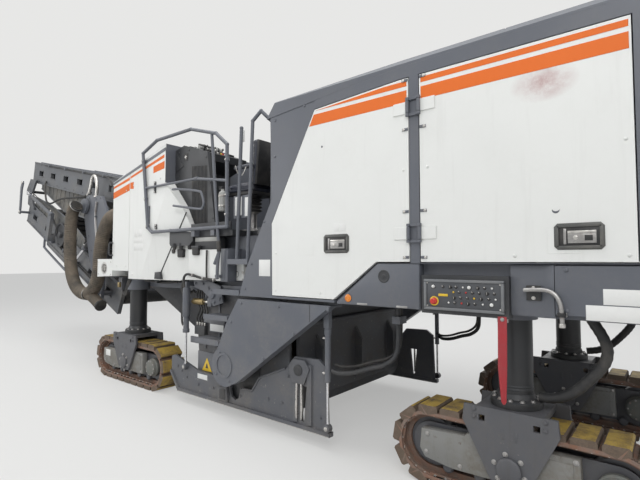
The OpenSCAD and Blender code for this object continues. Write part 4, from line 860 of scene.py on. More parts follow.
def frame_machinery(side, k):
    """Brackets, a tension cylinder, valves and pipes between the housing and the platform."""
    p = Piece(f"frame_machinery_{side}", "chassis", GREY, BRIGHT, RUBBER, LABEL, DARK, BRASS, YELLOWP, k=k)
    y = 1.03
    # dark plate behind the gap under the cover: painted shade in the gap
    p.prism([(-1.26, 0.13), (-1.78, 0.13), (-1.86, 0.56), (-1.26, 0.56)], 1.0455, 1.0525, 4)
    # grey bracket plate with its bolts, and the rail along the top
    p.prism([(-0.82, 1.415), (-1.065, 1.42), (-1.3, 1.36), (-1.345, 1.18), (-1.18, 1.135), (-1.085, 1.235),
             (-0.985, 1.3), (-0.84, 1.33)], y + 0.06, y + 0.084, 0)
    p.prism([(-0.9, 1.3), (-1.64, 1.3), (-1.64, 1.368), (-0.9, 1.368)], y, y + 0.061, 0)
    p.bolts(y + 0.084, 0.015, 0.013, 0, (-0.86, 1.375), (-1.0, 1.375), (-1.1, 1.33), (-1.24, 1.3),
            (-1.29, 1.22), (-1.2, 1.18))
    p.lathe((-1.165, y + 0.084, 1.262), Y, [(0.048, 0), (0.048, 0.018), (0.03, 0.026), (0, 0.026)], 0, 24)
    # belt tensioner: short cylinder with bright rod
    p.cyl((-0.76, 1.062, 1.164), (-0.96, 1.062, 1.168), 0.036, 5, 24)
    p.cyl((-0.96, 1.062, 1.168), (-1.06, 1.062, 1.17), 0.017, 1, 16)
    p.box((-1.12, y, 1.125), (-1.05, 1.095, 1.215), 0)
    p.box((-0.77, y, 1.135), (-0.735, 1.09, 1.195), 0)
    # two shelves with a valve block, blank plate and hose ends
    p.box((-1.34, 1.045, 0.945), (-0.985, 1.085, 0.995), 0)
    p.box((-1.185, 1.045, 0.69), (-0.705, 1.062, 0.76), 0)
    p.box((-1.33, 1.045, 0.85), (-1.085, 1.084, 0.945), 0)
    p.box((-1.322, 1.084, 0.862), (-1.094, 1.0856, 0.936), 3)
    p.box((-1.0, 1.046, 0.8), (-0.82, 1.09, 0.9), 4)
    for i in range(4):
        x = -0.98 + i * 0.045
        p.cyl((x, 1.07, 0.9), (x, 1.07, 0.935), 0.012, 1, 6)
        route = [(x, 1.07, 0.935), (x + 0.005, 1.072, 0.985), (x - 0.05, 1.078, 1.045 + 0.01 * i),
                 (x - 0.02, 1.07, 1.12), (x + 0.03, 1.06, 1.23), (x + 0.02, 1.055, 1.3)]
        p.pipe(route, 0.0105, 2)
    # housing ribs, and a plain yellow triangle on its plate
    for x in (-0.985, -1.225):
        p.box((x, 1.045, 0.65), (x + 0.022, 1.058, 1.25), 0)
    p.box((-1.15, 1.04, 0.34), (-0.84, 1.0525, 0.61), 0)
    p.prism([(-1.092, 0.4), (-0.918, 0.4), (-1.005, 0.548)], 1.052, 1.0545, 6)
    p.prism([(-1.03, 0.432), (-0.98, 0.432), (-1.005, 0.495)], 1.054, 1.0555, 4)
    p.done(0.002)


def gauge_box(side, k):
    """Pale box with a dial between the cover and the platform."""
    p = Piece(f"gauge_box_{side}", "chassis", PALE, DARK, BRIGHT, k=k)
    p.prism([(-1.455, 1.42), (-1.655, 1.424), (-1.69, 1.57), (-1.455, 1.585)], 1.031, 1.095, 0)
    p.lathe((-1.545, 1.095, 1.49), Y, [(0.034, 0), (0.034, 0.006), (0.028, 0.006), (0.026, 0.002),
                                       (0, 0.002)], 1, 28)
    p.box((-1.549, 1.097, 1.488), (-1.525, 1.1, 1.492), 2)
    p.lathe((-1.64, 1.095, 1.51), Y, [(0.014, 0), (0.014, 0.01), (0, 0.012)], 2, 16)
    p.done(0.004)


def cover_trim(side, k):
    """Seams, rim bolts and a blank plate on the belt cover and the plate above it."""
    p = Piece(f"cover_trim_{side}", "chassis", DARK, GREY, LABEL, k=k)
    y = HALF
    p.box((-2.668, y - 0.001, 1.105), (-2.66, y + 0.0008, 1.255), 0)
    p.bolts(y, 0.012, 0.008, 1, (-2.86, 1.225), (-2.48, 0.985), (-2.1, 0.72))
    p.bolts(y, 0.011, 0.008, 1, (-1.79, 1.215), (-2.3, 1.215), (-1.64, 1.02), (-1.47, 0.7), (-1.62, 0.43),
            (-1.42, 0.47))
    # blank plate on the dark front plate
    p.box((-2.183, y - 0.0045, 1.486), (-2.035, y - 0.0024, 1.64), 2)
    p.bolts(y - 0.004, 0.01, 0.006, 1, (-2.8, 2.6), (-2.6, 3.0), (-2.24, 2.6), (-2.1, 2.0), (-1.93, 1.6),
            (-1.84, 1.36), (-2.24, 2.94))
    p.done(0.001)


for side, k in MIR.items():
    gate_trim(side, k)
    ram_trim(side, k)
    frame_machinery(side, k)
    gauge_box(side, k)
    cover_trim(side, k)

# drum: holders and carbide tips on the CAD pegs' rows
p = Piece("drum_picks", "drum", DRUM, BRIGHT)
rows = 18
pitch_y = (2.0 - 0.08) / (rows - 1)
for r in range(rows):
    y = -1.0 + 0.04 + r * pitch_y
    for j in range(3):
        for q in range(2):
            a = math.radians(j * 120 + q * 60 + 25 * abs(r - (rows - 1) / 2))
            out = Vector((math.sin(a), 0, math.cos(a)))
            tan = Vector((math.cos(a), 0, -math.sin(a)))
            base = Vector((-1.535, y, 0.61)) + out * 0.378
            if q:
                block = [base + tan * u + out * w + Vector((0, v, 0)) for w in (0.0, 0.042) for u,
                         v in ((-0.042, -0.02), (0.03, -0.02), (0.03, 0.02), (-0.042, 0.02))]
                p.faces(block, SIX)
                p.cyl(base + out * 0.03, base + out * 0.08 + tan * 0.04, 0.017, 0, 12, r2=0.011)
                tip = base + out * 0.08 + tan * 0.04
            else:
                tip = base + out * 0.0875 + tan * 0.0567
            d = (out * 0.788 + tan * 0.616).normalized()
            p.cyl(tip, tip + d * 0.012, 0.0065, 1, 10, r2=0.002)
p.done(0.0)


# rear half: control panel, pipe, plates, marker and hoses
PANEL_ROWS = [
    (1.452, [(-3.8, "knob"), (-3.872, "switch"), (-3.925, "turn"), (-3.965, "switch"), (-4.01, "clear"),
             (-4.052, "knob"), (-4.11, "turn"), (-4.155, "switch"), (-4.2, "clear")]),
    (1.418, [(-3.945, "amber"), (-3.985, "switch"), (-4.03, "red"), (-4.075, "switch"), (-4.12, "switch"),
             (-4.17, "turn"), (-4.215, "switch")]),
    (1.382, [(-3.95, "turn"), (-3.995, "switch"), (-4.04, "switch"), (-4.085, "amber"), (-4.13, "turn"),
             (-4.18, "switch"), (-4.222, "clear")]),
    (1.346, [(-3.91, "clear"), (-3.955, "switch"), (-4.0, "red"), (-4.045, "turn"), (-4.09, "switch"),
             (-4.14, "clear"), (-4.196, "knob")]),
]
LENS = [(0.0065, 0), (0.0065, 0.003), (0.0045, 0.006), (0, 0.007)]
RIM = ([(0.0095, 0), (0.0095, 0.002), (0.0065, 0.0025)], 3, 14)
KNOBS = {
    "knob": [([(0.012, 0), (0.012, 0.004), (0.009, 0.006), (0.008, 0.016), (0, 0.018)], 5, 18),
             ([(0.017, 0), (0.017, 0.002), (0.012, 0.003)], 3, 18)],
    "switch": [([(0.01, 0), (0.01, 0.004), (0.006, 0.006), (0, 0.006)], 3, 14)],
    "turn": [([(0.013, 0), (0.013, 0.004), (0.009, 0.006), (0.008, 0.014), (0, 0.015)], 3, 16)],
    "red": [(LENS, 2, 14), RIM], "amber": [(LENS, 6, 14), RIM], "clear": [(LENS, 5, 14), RIM],
}
PALE_GREY = paint("rim_grey", (0.165, 0.172, 0.18), 0.4, dust=0.25, chips=0.4)
for side, k in MIR.items():
    p = Piece(f"control_panel_{side}", "chassis", CONTROL, GREY, REDP, PLASTIC, BRIGHT, LABEL, YELLOWP,
              PALE_GREY, k=k)
    x0, x1, z0, z1, y = -4.262, -3.743, 1.304, 1.49, 1.262
    # raised rim round the panel
    for xa, za, xb, zb in ((x0 - 0.012, z0 - 0.012, x1 + 0.012, z0 + 0.006), (x0 - 0.012, z0, x0 + 0.006,
            z1), (x0 - 0.012, z1 - 0.006, x1 + 0.012, z1 + 0.012), (x1 - 0.006, z0, x1 + 0.012, z1)):
        p.box((xa, y - 0.013, za), (xb, y + 0.008, zb), 7)
    p.box((x0, y - 0.001, z0), (x1, y + 0.0015, z1), 0)
    # stop button on its yellow disc, with a yellow tag above
    stop = (-3.806, y, 1.352)
    p.lathe(stop, Y, [(0.033, 0.0), (0.033, 0.0025), (0.024, 0.0028)], 6, 28)
    p.lathe(stop, Y, [(0.023, 0), (0.023, 0.004), (0.012, 0.006), (0.012, 0.018), (0.02, 0.022),
                      (0.02, 0.03), (0.014, 0.035), (0, 0.035)], 2, 28)
    p.box((-3.905, y, 1.387), (-3.838, y + 0.003, 1.404), 6)
    # rows of small switches, lights and pale knobs
    for z, row in PANEL_ROWS:
        for x, kind in row:
            for profile, m, n in KNOBS[kind]:
                p.lathe((x, y, z), Y, profile, m, n)
            if kind == "switch":
                p.cyl((x, y + 0.004, z), (x, y + 0.018, z + 0.007), 0.0035, 4, 8)
            elif kind == "turn":
                p.box((x - 0.0015, y + 0.014, z - 0.008), (x + 0.0015, y + 0.0165, z + 0.008), 4)
    p.bolts(y, 0.006, 0.004, 4, *[(x, z) for x in (x0 + 0.012, x1 - 0.012) for z in (z0 + 0.014, z1 - 0.014)])
    p.done(0.0015)

    # panel behind the controls, folded out to the rear one, with the pale pipe along it
    p = Piece(f"rear_step_panel_{side}", "chassis", GREY, PLASTIC, BRIGHT, LABEL, STEEL, k=k)
    p.prism([(-4.302, 1.1805), (-4.302, 1.216), (-4.5, 1.216), (-4.556, 1.243), (-4.556, 1.1805)], 1.288,
            1.604, 0, plane="xy")
    p.box((-4.479, 1.215, 1.386), (-4.396, 1.228, 1.478), 1)
    for z in (1.402, 1.462):
        p.bolt((-4.437, 1.228, z), Y, 0.008, 0.006, 2)
    route = [(-4.385, 1.243, 1.449), (-4.44, 1.247, 1.453), (-4.51, 1.252, 1.453), (-4.56, 1.262, 1.432),
             (-4.588, 1.266, 1.385), (-4.596, 1.266, 1.33), (-4.597, 1.262, 1.246)]
    p.pipe(route, 0.0135, 4, 16, 8)
    p.lathe((-4.597, 1.264, 1.3), Z, [(0.014, 0), (0.024, 0.002), (0.024, 0.026), (0.014, 0.028)], 1, 20)
    p.box((-4.622, 1.244, 1.302), (-4.572, 1.264, 1.326), 2)
    p.lathe((-4.597, 1.263, 1.24), Z, [(0.018, 0), (0.018, 0.022), (0.014, 0.024)], 2, 20)
    # blank plates
    for xa, xb, za, zb in ((-5.15, -4.802, 1.384, 1.472), (-5.23, -4.716, 1.292, 1.378)):
        p.box((xa, 1.244, za), (xb, 1.2456, zb), 3)
    for x in (-5.9, -5.5, -4.62):
        for z in (1.335, 1.575):
            p.bolt((x, 1.244, z), Y, 0.01, 0.006, 0)
    p.done(0.0015)

    # corner panel ahead of it: flush cover, round plug, marker lamp and two bright clips on its lower edge
    p = Piece(f"corner_panel_{side}", "chassis", GREY, DARK, AMBER, STEEL, k=k)
    p.prism([(-3.685, 1.284), (-2.97, 1.284), (-2.985, 1.312), (-3.343, 1.605), (-3.685, 1.605)], 1.2395,
            1.2475, 0)
    p.lathe((-3.395, 1.2475, 1.513), Y, [(0.05, 0), (0.05, 0.002), (0.044, 0.004), (0.039, 0.0035),
                                         (0.036, 0.0008), (0.016, 0.0008), (0.013, 0.004), (0, 0.004)], 1, 36)
    p.lathe((-3.066, 1.2475, 1.332), Y, [(0.034, 0), (0.034, 0.002), (0.031, 0.003)], 1, 28)
    p.lathe((-3.066, 1.2475, 1.332), Y, [(0.031, 0.002), (0.03, 0.0045), (0.018, 0.0065), (0, 0.007)], 2, 28)
    for xa, xb in ((-3.245, -3.15), (-3.59, -3.5)):
        p.box((xa, 1.246, 1.284), (xb, 1.2495, 1.298), 3)
    p.done(0.0015)

    # red tapered height marker below the control panel
    p = Piece(f"height_marker_{side}", "chassis", MARKER, STEEL, k=k)
    p.prism([(-4.228, 1.277), (-4.284, 1.277), (-4.28, 0.96), (-4.272, 0.745), (-4.262, 0.728),
             (-4.25, 0.728), (-4.24, 0.745), (-4.224, 0.96)], 1.2445, 1.2505, 0)
    p.box((-4.29, 1.235, 1.24), (-4.222, 1.2445, 1.279), 1)
    p.bolt((-4.256, 1.2505, 1.258), Y, 0.009, 0.006, 1)
    p.done(0.0015)

# hydraulic hoses from the frame to the rear legs
HOSE_REAR = [(-4.7, 1.0, 1.296), (-4.722, 1.0, 1.25), (-4.762, 1.0, 1.18), (-4.788, 1.0, 1.105),
             (-4.78, 1.0, 1.03), (-4.742, 1.0, 0.965), (-4.69, 1.0, 0.9), (-4.632, 1.0, 0.835),
             (-4.57, 0.995, 0.785), (-4.5, 0.985, 0.752), (-4.43, 0.97, 0.738), (-4.405, 0.965, 0.735)]
for corner in ("rear_left", "rear_right"):
    k = CORNERS[corner][1]
    line = curve_points(HOSE_REAR, 4)
    p = Piece(f"leg_hose_{corner}", None, RUBBER, BRIGHT, k=k)
    p.tube(line, [0.031 + 0.0022 * (i % 2) for i in range(len(line))], 0, 16)
    hose = p.done()
    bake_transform(hose)

# side louvres, hood roof, rear wall
for side, k in MIR.items():
    p = Piece(f"louvres_{side}", "chassis", GREY, DARK, BRIGHT, k=k)
    for i in range(10):
        z = 2.01 + i * 0.08
        p.prism([(HALF - 0.004, z + 0.035), (HALF + 0.012, z + 0.018), (HALF + 0.014, z + 0.022),
                 (HALF - 0.002, z + 0.04)], -5.694, -5.126, 0, plane="yz")
    for x in (-5.8, -5.03):
        for z in (1.7, 2.0, 2.4, 2.8):
            p.bolt((x, HALF, z), Y, 0.01, 0.006, 2)
    # dark filter mat behind the louvres
    p.box((-5.72, HALF - 0.034, 1.985), (-5.1, HALF - 0.03, 2.79), 1)
    p.done(0.0015)

p = Piece("roof_trim", "chassis", GREY, BRIGHT, DARK, RUBBER)
for x in (-5.6, -5.0, -4.6, -4.0, -3.7):
    for p.k in (1, -1):
        p.bolt((x, 1.12, 3.16), Z, 0.011, 0.008, 1)
for p.k in (1, -1):
    for x in (-5.45, -3.75):
        p.ring(x, 0.98, 3.19, 0.045, 0.011, 0, 20, 8)
        p.lathe((x, 0.98, 3.158), Z, [(0.032, 0), (0.032, 0.006), (0.016, 0.01), (0, 0.01)], 1, 20)
p.k = 1
# exhaust outlet and an air intake grille on the roof
p.lathe((-5.05, 0.42, 3.155), Z, [(0.15, 0), (0.15, 0.012), (0.1, 0.016), (0.1, 0.11), (0.085, 0.11),
                                  (0.085, 0.02)], 2, 36)
for i in range(9):
    p.box((-4.55 + i * 0.075, -0.7, 3.16), (-4.515 + i * 0.075, 0.1, 3.178), 2)
p.box((-4.6, -0.74, 3.158), (-3.86, 0.14, 3.164), 0)
p.done(0.003)

p = Piece("rear_wall_trim", "chassis", DARK, BRIGHT, REDP, LABEL, RUBBER, GREY)
for i in range(12):
    z = 1.8 + i * 0.092
    for j in range(31):
        y = -0.885 + j * 0.059
        p.box((-5.842, y, z + 0.002), (-5.838, y + 0.008, z + 0.053), 0)
for p.k in (1, -1):
    p.lathe((-5.8605, 1.05, 1.95), (-1, 0, 0), [(0.04, 0), (0.04, 0.01), (0.03, 0.016), (0, 0.016)], 2, 24)
    for z in (1.66, 2.1, 2.5, 2.9):
        p.bolt((-5.859, 1.16, z), (-1, 0, 0), 0.01, 0.007, 1)
    p.box((-5.948, 0.3, 1.34), (-5.928, 0.62, 1.56), 4)
    p.box((-5.863, 0.985, 2.5), (-5.858, 1.12, 2.62), 3)
p.box((-5.864, -0.26, 1.65), (-5.858, 0.26, 1.74), 3)
p.pipe([(-5.86, -0.2, 2.955), (-5.92, -0.2, 2.96), (-5.92, 0.0, 2.96), (-5.92, 0.2, 2.96),
        (-5.86, 0.2, 2.955)], 0.012, 5, 10, 5)
p.done(0.002)

# engine: pipes and cover ribs seen through an open door
p = Piece("engine_trim", "chassis", STEEL, DARK, RUBBER, BRIGHT, YELLOWP)
for p.k in (1, -1):
    for i in range(6):
        x = -4.55 + i * 0.26
        p.lathe((x, 0.431, 2.18), Y, [(0.055, 0), (0.055, 0.012), (0.03, 0.016), (0.022, 0.05),
                                      (0, 0.052)], 1, 20)
        p.pipe([(x, 0.48, 2.18), (x + 0.02, 0.52, 2.26), (x + 0.05, 0.48, 2.4), (x + 0.06, 0.4, 2.46),
                (x + 0.06, 0.331, 2.48)], 0.012, 3)
    for i in range(3):
        z = 1.78 + i * 0.13
        p.pipe([(-4.7, 0.47, z), (-4.2, 0.49, z + 0.02), (-3.7, 0.46, z - 0.02), (-3.0, 0.48, z)], 0.018,
               2, 12)
    for x, m in ((-3.25, 4), (-3.45, 1)):
        p.lathe((x, 0.47, 2.02), Z, [(0, 0), (0.055, 0), (0.058, 0.02), (0.058, 0.2), (0.045, 0.22),
                                     (0, 0.22)], m, 28)
for i in range(9):
    p.box((-4.56 + i * 0.17, -0.3, 2.6195), (-4.52 + i * 0.17, 0.3, 2.64), 0)
p.done(0.002)


# front: nose, vent box, slewing frame and conveyors
def turned(x, z, slope, flip=1):
    """Placement of a conveyor half: local x along the belt, local z across it."""
    a = math.radians(slope)
    u = Vector((math.cos(a) * flip, 0, math.sin(a) * flip))
    w = Vector((-math.sin(a) * flip, 0, math.cos(a) * flip))
    m = Matrix((u, Vector(Y), w)).transposed().to_4x4()
    m.translation = Vector((x, 0, z))
    return m


INNER = turned(2.175, 1.1, 23.2)
OUTER = turned(5.8236, 3.1371, 11.8, -1)
BEAM_IN, BEAM_OUT = 0.53, 0.59

for side, k in MIR.items():
    # headlamps in the nose
    p = Piece(f"headlamp_{side}", "chassis", PLASTIC, GLASS, BRIGHT, k=k)
    p.box((1.037, 0.704, 1.664), (1.046, 0.856, 1.756), 0)
    for y in (0.742, 0.818):
        p.lathe((1.045, y, 1.71), X, [(0.036, 0), (0.036, 0.006), (0.031, 0.007)], 0, 32)
        p.lathe((1.045, y, 1.71), X, [(0.031, 0.004), (0.024, 0.009), (0.012, 0.011), (0, 0.012)], 1, 32)
        p.lathe((1.045, y, 1.71), X, [(0.01, 0.0105), (0.006, 0.0135), (0, 0.014)], 2, 16)
    p.done(0.0015)

    # nose corner: hinge blocks, grab handles and the bolts of the nose carrier
    p = Piece(f"nose_trim_{side}", "chassis", DARK, BRIGHT, GREY, PLASTIC, k=k)
    for z in (2.53, 2.24, 1.98):
        if z < 2.3:
            p.box((1.04, 0.5, z - 0.035), (1.052, 0.56, z + 0.035), 2)
        else:
            p.box((0.965, 0.56, z - 0.02), (0.985, 0.64, z + 0.02), 2)
    for y in (0.18, 0.32, 0.44):
        for z in (2.07, 2.445):
            p.bolt((1.155, y, z), X, 0.016, 0.014, 1)
    for y in (0.55, 0.9):
        p.pipe([(0.985, y, 1.56), (1.05, y, 1.562), (1.056, y + 0.02, 1.59), (1.05, y, 1.618),
                (1.0, y, 1.622)], 0.008, 0, 8, 5)
    p.done(0.0015)

# vent box: fan grille, blades, screws and a small bracket
p = Piece("vent_trim", "chassis", DARK, BRIGHT, PLASTIC, GREY)
for r in (0.03, 0.048, 0.066, 0.082):
    p.ring(1.25, 1.1505, 1.525, r, 0.0022, 1, 36, 6)
for i in range(4):
    a = math.radians(20 + 45 * i)
    c, s = 0.084 * math.cos(a), 0.084 * math.sin(a)
    p.tube([(1.25 - c, 1.149, 1.525 - s), (1.25 + c, 1.149, 1.525 + s)], 0.0028, 1, 6)
for i in range(7):
    a = 2 * math.pi * i / 7
    tip = Vector((1.25 + 0.055 * math.cos(a), 1.128, 1.525 + 0.055 * math.sin(a)))
    across = Vector((-math.sin(a), 0, math.cos(a)))
    out = Vector((math.cos(a), 0, math.sin(a)))
    blade = [tip - out * 0.04 - across * 0.006, tip - out * 0.04 + across * 0.006, tip + across * 0.026
             + Vector((0, 0.008, 0)), tip - across * 0.018 - Vector((0, 0.004, 0))]
    p.faces(blade + [q + Vector((0, 0.003, 0)) for q in blade], SIX, 2)
p.lathe((1.25, 1.126, 1.525), Y, [(0.022, 0), (0.022, 0.014), (0.012, 0.018), (0, 0.018)], 2, 24)
p.bolts(1.15, 0.007, 0.004, 1, (1.06, 1.44), (1.06, 1.61), (1.42, 1.44), (1.42, 1.61))
p.box((1.02, 0.99, 1.402), (1.1, 1.09, 1.412), 3)
p.done(0.001)

# underside of the front body: valve blocks, pipes and hose ends between the leg guides
p = Piece("front_underside", "chassis", SHADED_GREY, RUBBER, BRIGHT, BRASS, DARK)
for p.k in (1, -1):
    # valve blocks in the shaded grey: painted shade under the front body
    p.box((0.905, 0.94, 1.225), (1.0, 1.06, 1.398), 0)
    p.box((0.935, 1.05, 1.262), (0.985, 1.085, 1.33), 3)
    for i in range(3):
        x = 0.925 + i * 0.025
        route = [(x, 1.0, 1.23), (x - 0.01, 1.01, 1.19), (x - 0.06, 1.02, 1.16), (x - 0.15, 1.05, 1.205),
                 (x - 0.26, 1.09, 1.29), (x - 0.33, 1.1, 1.38)]
        p.pipe(route, 0.0125, 1)
    for i in range(4):
        y, z = 0.905 + i * 0.05, 1.385 - 0.004 * i
        route = [(-0.42, y, z), (-0.15, y + 0.01, z - 0.016), (0.15, y, z - 0.006), (0.33, y - 0.006, z)]
        p.pipe(route, 0.0115, 1, 8)
    p.box((-0.06, 0.88, 1.35), (-0.01, 1.11, 1.399), 4)
    for x, y in ((0.28, 1.16), (0.1, 1.16), (-0.2, 1.16), (-0.38, 1.1)):
        p.bolt((x, y, 1.4), (0, 0, -1), 0.01, 0.008, 2)
p.done(0.002)

# slewing frame: pin caps, pipes up the arm, bolts, cross hoses, fan
p = Piece("slew_trim", "slew", GREY, RUBBER, BRIGHT, DARK, STEEL)
for p.k in (1, -1):
    p.lathe((2.175, 0.78, 1.1), Y, [(0.095, 0), (0.095, 0.012), (0.075, 0.016), (0.06, 0.026), (0, 0.026)],
            0, 40)
    p.bolts(0.792, 0.011, 0.01, 2, *ring_places(2.175, 1.1, 0.078, 6, 0.2))
    p.bolts(0.78, 0.012, 0.009, 0, (2.2, 2.66), (2.36, 2.66), (2.6, 2.7), (2.72, 2.44), (2.6, 2.05),
            (2.5, 1.8), (2.1, 1.3), (2.24, 1.3), (2.4, 1.6))
    # stiffening lip along the front edge of the arm
    lip = [(2.655, 2.735), (2.785, 2.417), (2.603, 1.826), (2.262, 1.03)]
    for (xa, za), (xb, zb) in zip(lip, lip[1:]):
        p.tube([(xa, 0.772, za), (xb, 0.772, zb)], 0.012, 0, 10)
    for i in range(2):
        y = 0.788 + i * 0.016
        route = [(2.3, y, 2.6), (2.34, y, 2.4), (2.3, y, 2.1), (2.24, y, 1.8), (2.16, y, 1.5),
                 (2.12, y, 1.28)]
        p.pipe(route, 0.009, 4, 8)
    for z in (2.35, 1.75):
        p.box((2.215 + (z - 1.75) * 0.17, 0.779, z), (2.315 + (z - 1.75) * 0.12, 0.812, z + 0.024), 0)
    # grey head plates ahead of the arms
    p.prism([(2.655, 2.735), (2.77, 2.76), (2.805, 2.43), (2.785, 2.417)], 0.745, 0.757, 0)
for i in range(4):
    y = -0.3 + i * 0.2
    route = [(2.15, y, 2.365), (2.21, y, 2.445), (2.33, y * 0.9, 2.47), (2.42, y * 0.8, 2.4),
             (2.44, y * 0.8, 2.3)]
    p.pipe(route, 0.017, 1)
# fan housing on the left arm: ribbed rim, hub, motor
p.k = 1
p.lathe((2.695, 0.838, 2.56), Y, [(0.127, -0.05), (0.131, -0.046), (0.131, -0.036), (0.127, -0.032)], 3, 48)
p.lathe((2.695, 0.752, 2.56), (0, -1, 0), [(0, 0), (0.075, 0), (0.075, 0.05), (0.06, 0.06), (0, 0.06)], 3, 32)
p.done(0.002)

# swan-neck bars at the top of the slewing frame
p = Piece("swan_neck", "slew", BRIGHT, RUBBER)
for p.k in (1, -1):
    route = [(2.4, 0.76, 2.7), (2.38, 0.76, 2.86), (2.42, 0.76, 3.0), (2.49, 0.76, 3.06),
             (2.56, 0.76, 3.03), (2.6, 0.76, 2.92), (2.66, 0.76, 2.8), (2.72, 0.76, 2.752)]
    p.pipe(route, 0.026 if p.k > 0 else 0.016, 0, 14, 7)
    p.lathe((2.4, 0.76, 2.69), Z, [(0.04, 0), (0.04, 0.022), (0.028, 0.03)], 0, 24)
p.done(0.0)


def conveyor_trim(name, body, place, length, w0, skip):
    """Flange lips, bolts, window ledges and cross stays of one conveyor half."""
    p = Piece(name, body, CONVEYOR, BRIGHT, DARK, LABEL, place=place)
    for p.k in (1, -1):
        for w in (w0 + 0.004, w0 + 0.426):
            p.box((0.05, BEAM_OUT - 0.004, w - 0.012), (length, BEAM_OUT + 0.014, w + 0.012), 0)
        for i in range(9):
            u = 0.42 + i * (length - 0.84) / 8
            p.bolt((u, BEAM_OUT, w0 + 0.04), Y, 0.01, 0.008, 0)
            p.bolt((u + 0.11, BEAM_OUT, w0 + 0.388), Y, 0.01, 0.008, 0)
        for i in range(6):
            u = skip + 0.42 + i * (length - skip - 0.84) / 5
            for w in (w0 + 0.15, w0 + 0.268):
                p.box((u - 0.128, BEAM_OUT - 0.002, w), (u + 0.128, BEAM_OUT + 0.008, w + 0.014), 0)
    for i in range(5):
        u = 0.75 + i * (length - 1.3) / 4
        p.cyl((u, -BEAM_IN, w0 + 0.4), (u, BEAM_IN, w0 + 0.4), 0.018, 0, 12)
    p.done(0.002)


def chevrons(name, body, place, u0, u1, centre):
    """Raised V cleats on both runs of a belt."""
    p = Piece(name, body, BELT, place=place)
    pitch = 0.32
    n = int((u1 - u0 - 0.1) / pitch)
    for i in range(n):
        u = u0 + 0.1 + (i + 0.5) * pitch
        for s in (1, -1):
            w = centre + s * 0.12
            for p.k in (1, -1):
                a = [(u - 0.01, 0.0), (u + 0.018, 0.0), (u - 0.122, 0.44), (u - 0.15, 0.44)]
                base = [(x, y, w - s * 0.002) for x, y in a]
                crest = [(x + (0.005 if j in (0, 3) else -0.005), y, w + s * 0.02) for j,
                         (x, y) in enumerate(a)]
                p.faces(base + crest, SIX)
    p.done()


conveyor_trim("conveyor_trim_inner", "conveyor_inner", INNER, 4.1, -0.215, -0.34)
conveyor_trim("conveyor_trim_outer", "conveyor_outer", OUTER, 4.0, -0.65, 0.02)
chevrons("belt_cleats_inner", "conveyor_inner", INNER, -0.2, 3.97, 0.02)
chevrons("belt_cleats_outer", "conveyor_outer", OUTER, 0.22, 3.86, -0.415)

# inner half: fold links at the tip, cylinders' glands, tension wheel, hoses, guard
p = Piece("inner_fittings", "conveyor_inner", CONVEYOR, BRIGHT, RUBBER, GREY, DARK, STEEL, place=INNER)
for p.k in (1, -1):
    # barrel end caps, gland, ports and feed pipes of the fold cylinder
    y, w = 0.716, 0.455
    p.lathe((3.7, y, w), X, [(0.038, 0), (0.046, 0.003), (0.046, 0.07), (0.038, 0.078), (0.0215, 0.08)], 3,
            32)
    p.lathe((2.56, y, w), X, [(0.038, 0), (0.044, 0.004), (0.044, 0.04), (0.038, 0.044)], 3, 32)
    for u in (2.64, 3.69):
        p.cyl((u, y, w + 0.03), (u, y, w + 0.066), 0.014, 1, 8)
    route = [(3.69, y, w + 0.062), (3.64, y, w + 0.082), (3.3, y, w + 0.066), (2.9, y, w + 0.064),
             (2.72, y, w + 0.06), (2.6, y - 0.02, w - 0.02), (2.44, y - 0.05, w - 0.16), (2.34, y - 0.07,
             w - 0.3)]
    p.pipe(route, 0.01, 2)
    # hoses along the beam
    for i in range(2):
        w1 = -0.05 - 0.036 * i
        route = [(0.3, 0.612, w1), (1.1, 0.606, w1 + 0.01), (1.9, 0.606, w1), (2.3, 0.612, w1 + 0.03),
                 (2.44, 0.64, w1 + 0.12)]
        p.pipe(route, 0.013, 2)
    for u in (0.62, 1.3, 1.98):
        p.box((u, 0.589, -0.106), (u + 0.03, 0.628, -0.03), 3)
    # bent link plates outside the hinge, with their pins
    link = [(4.205, 0.64), (4.26, 0.61), (4.275, 0.47), (4.215, 0.27), (4.15, 0.09), (4.11, -0.06),
            (4.05, -0.06), (4.075, 0.1), (4.135, 0.29), (4.18, 0.45), (4.17, 0.6)]
    p.prism(link, 0.752, 0.778, 3)
    for u, v in ((4.215, 0.6), (4.082, -0.02)):
        p.lathe((u, 0.778, v), Y, [(0.03, 0), (0.03, 0.012), (0.02, 0.018), (0, 0.018)], 1, 20)
    p.cyl((4.08, 0.59, -0.02), (4.08, 0.753, -0.02), 0.026, 3, 20)
    # tension wheel at the middle of the beam
    p.lathe((2.176, 0.606, 0.19), Y, [(0.205, 0), (0.225, 0.006), (0.225, 0.04), (0.238, 0.044),
                                      (0.238, 0.056), (0.2, 0.06), (0.196, 0.03), (0.06, 0.022),
                                      (0.056, 0.07), (0, 0.074)], 4, 48)
    p.lathe((2.176, 0.606, 0.19), Y, [(0.205, 0), (0.1, -0.01), (0, -0.01)], 4, 48)
    # guard bars under the beam
    route = [(1.5, 0.6, -0.15), (1.56, 0.604, -0.33), (1.66, 0.604, -0.372), (2.8, 0.604, -0.372),
             (2.92, 0.604, -0.33), (2.98, 0.6, -0.15)]
    p.pipe(route, 0.022, 3, 12)
    p.prism([(1.585, -0.212), (2.9, -0.212), (2.88, -0.3), (1.62, -0.3)], 0.57, 0.58, 0)
    # blocks by the skirt, one with three ports
    p.box((2.08, 0.542, 0.24), (2.23, 0.56, 0.33), 3)
    p.box((2.5, 0.6, -0.12), (2.64, 0.65, -0.03), 3)
    for i in range(3):
        p.cyl((2.525 + i * 0.042, 0.628, -0.03), (2.525 + i * 0.042, 0.628, 0.004), 0.011, 1, 6)
# scraper bar at the lower roller
p.box((-0.345, -0.53, 0.18), (-0.315, 0.53, 0.214), 3)
p.done(0.002)

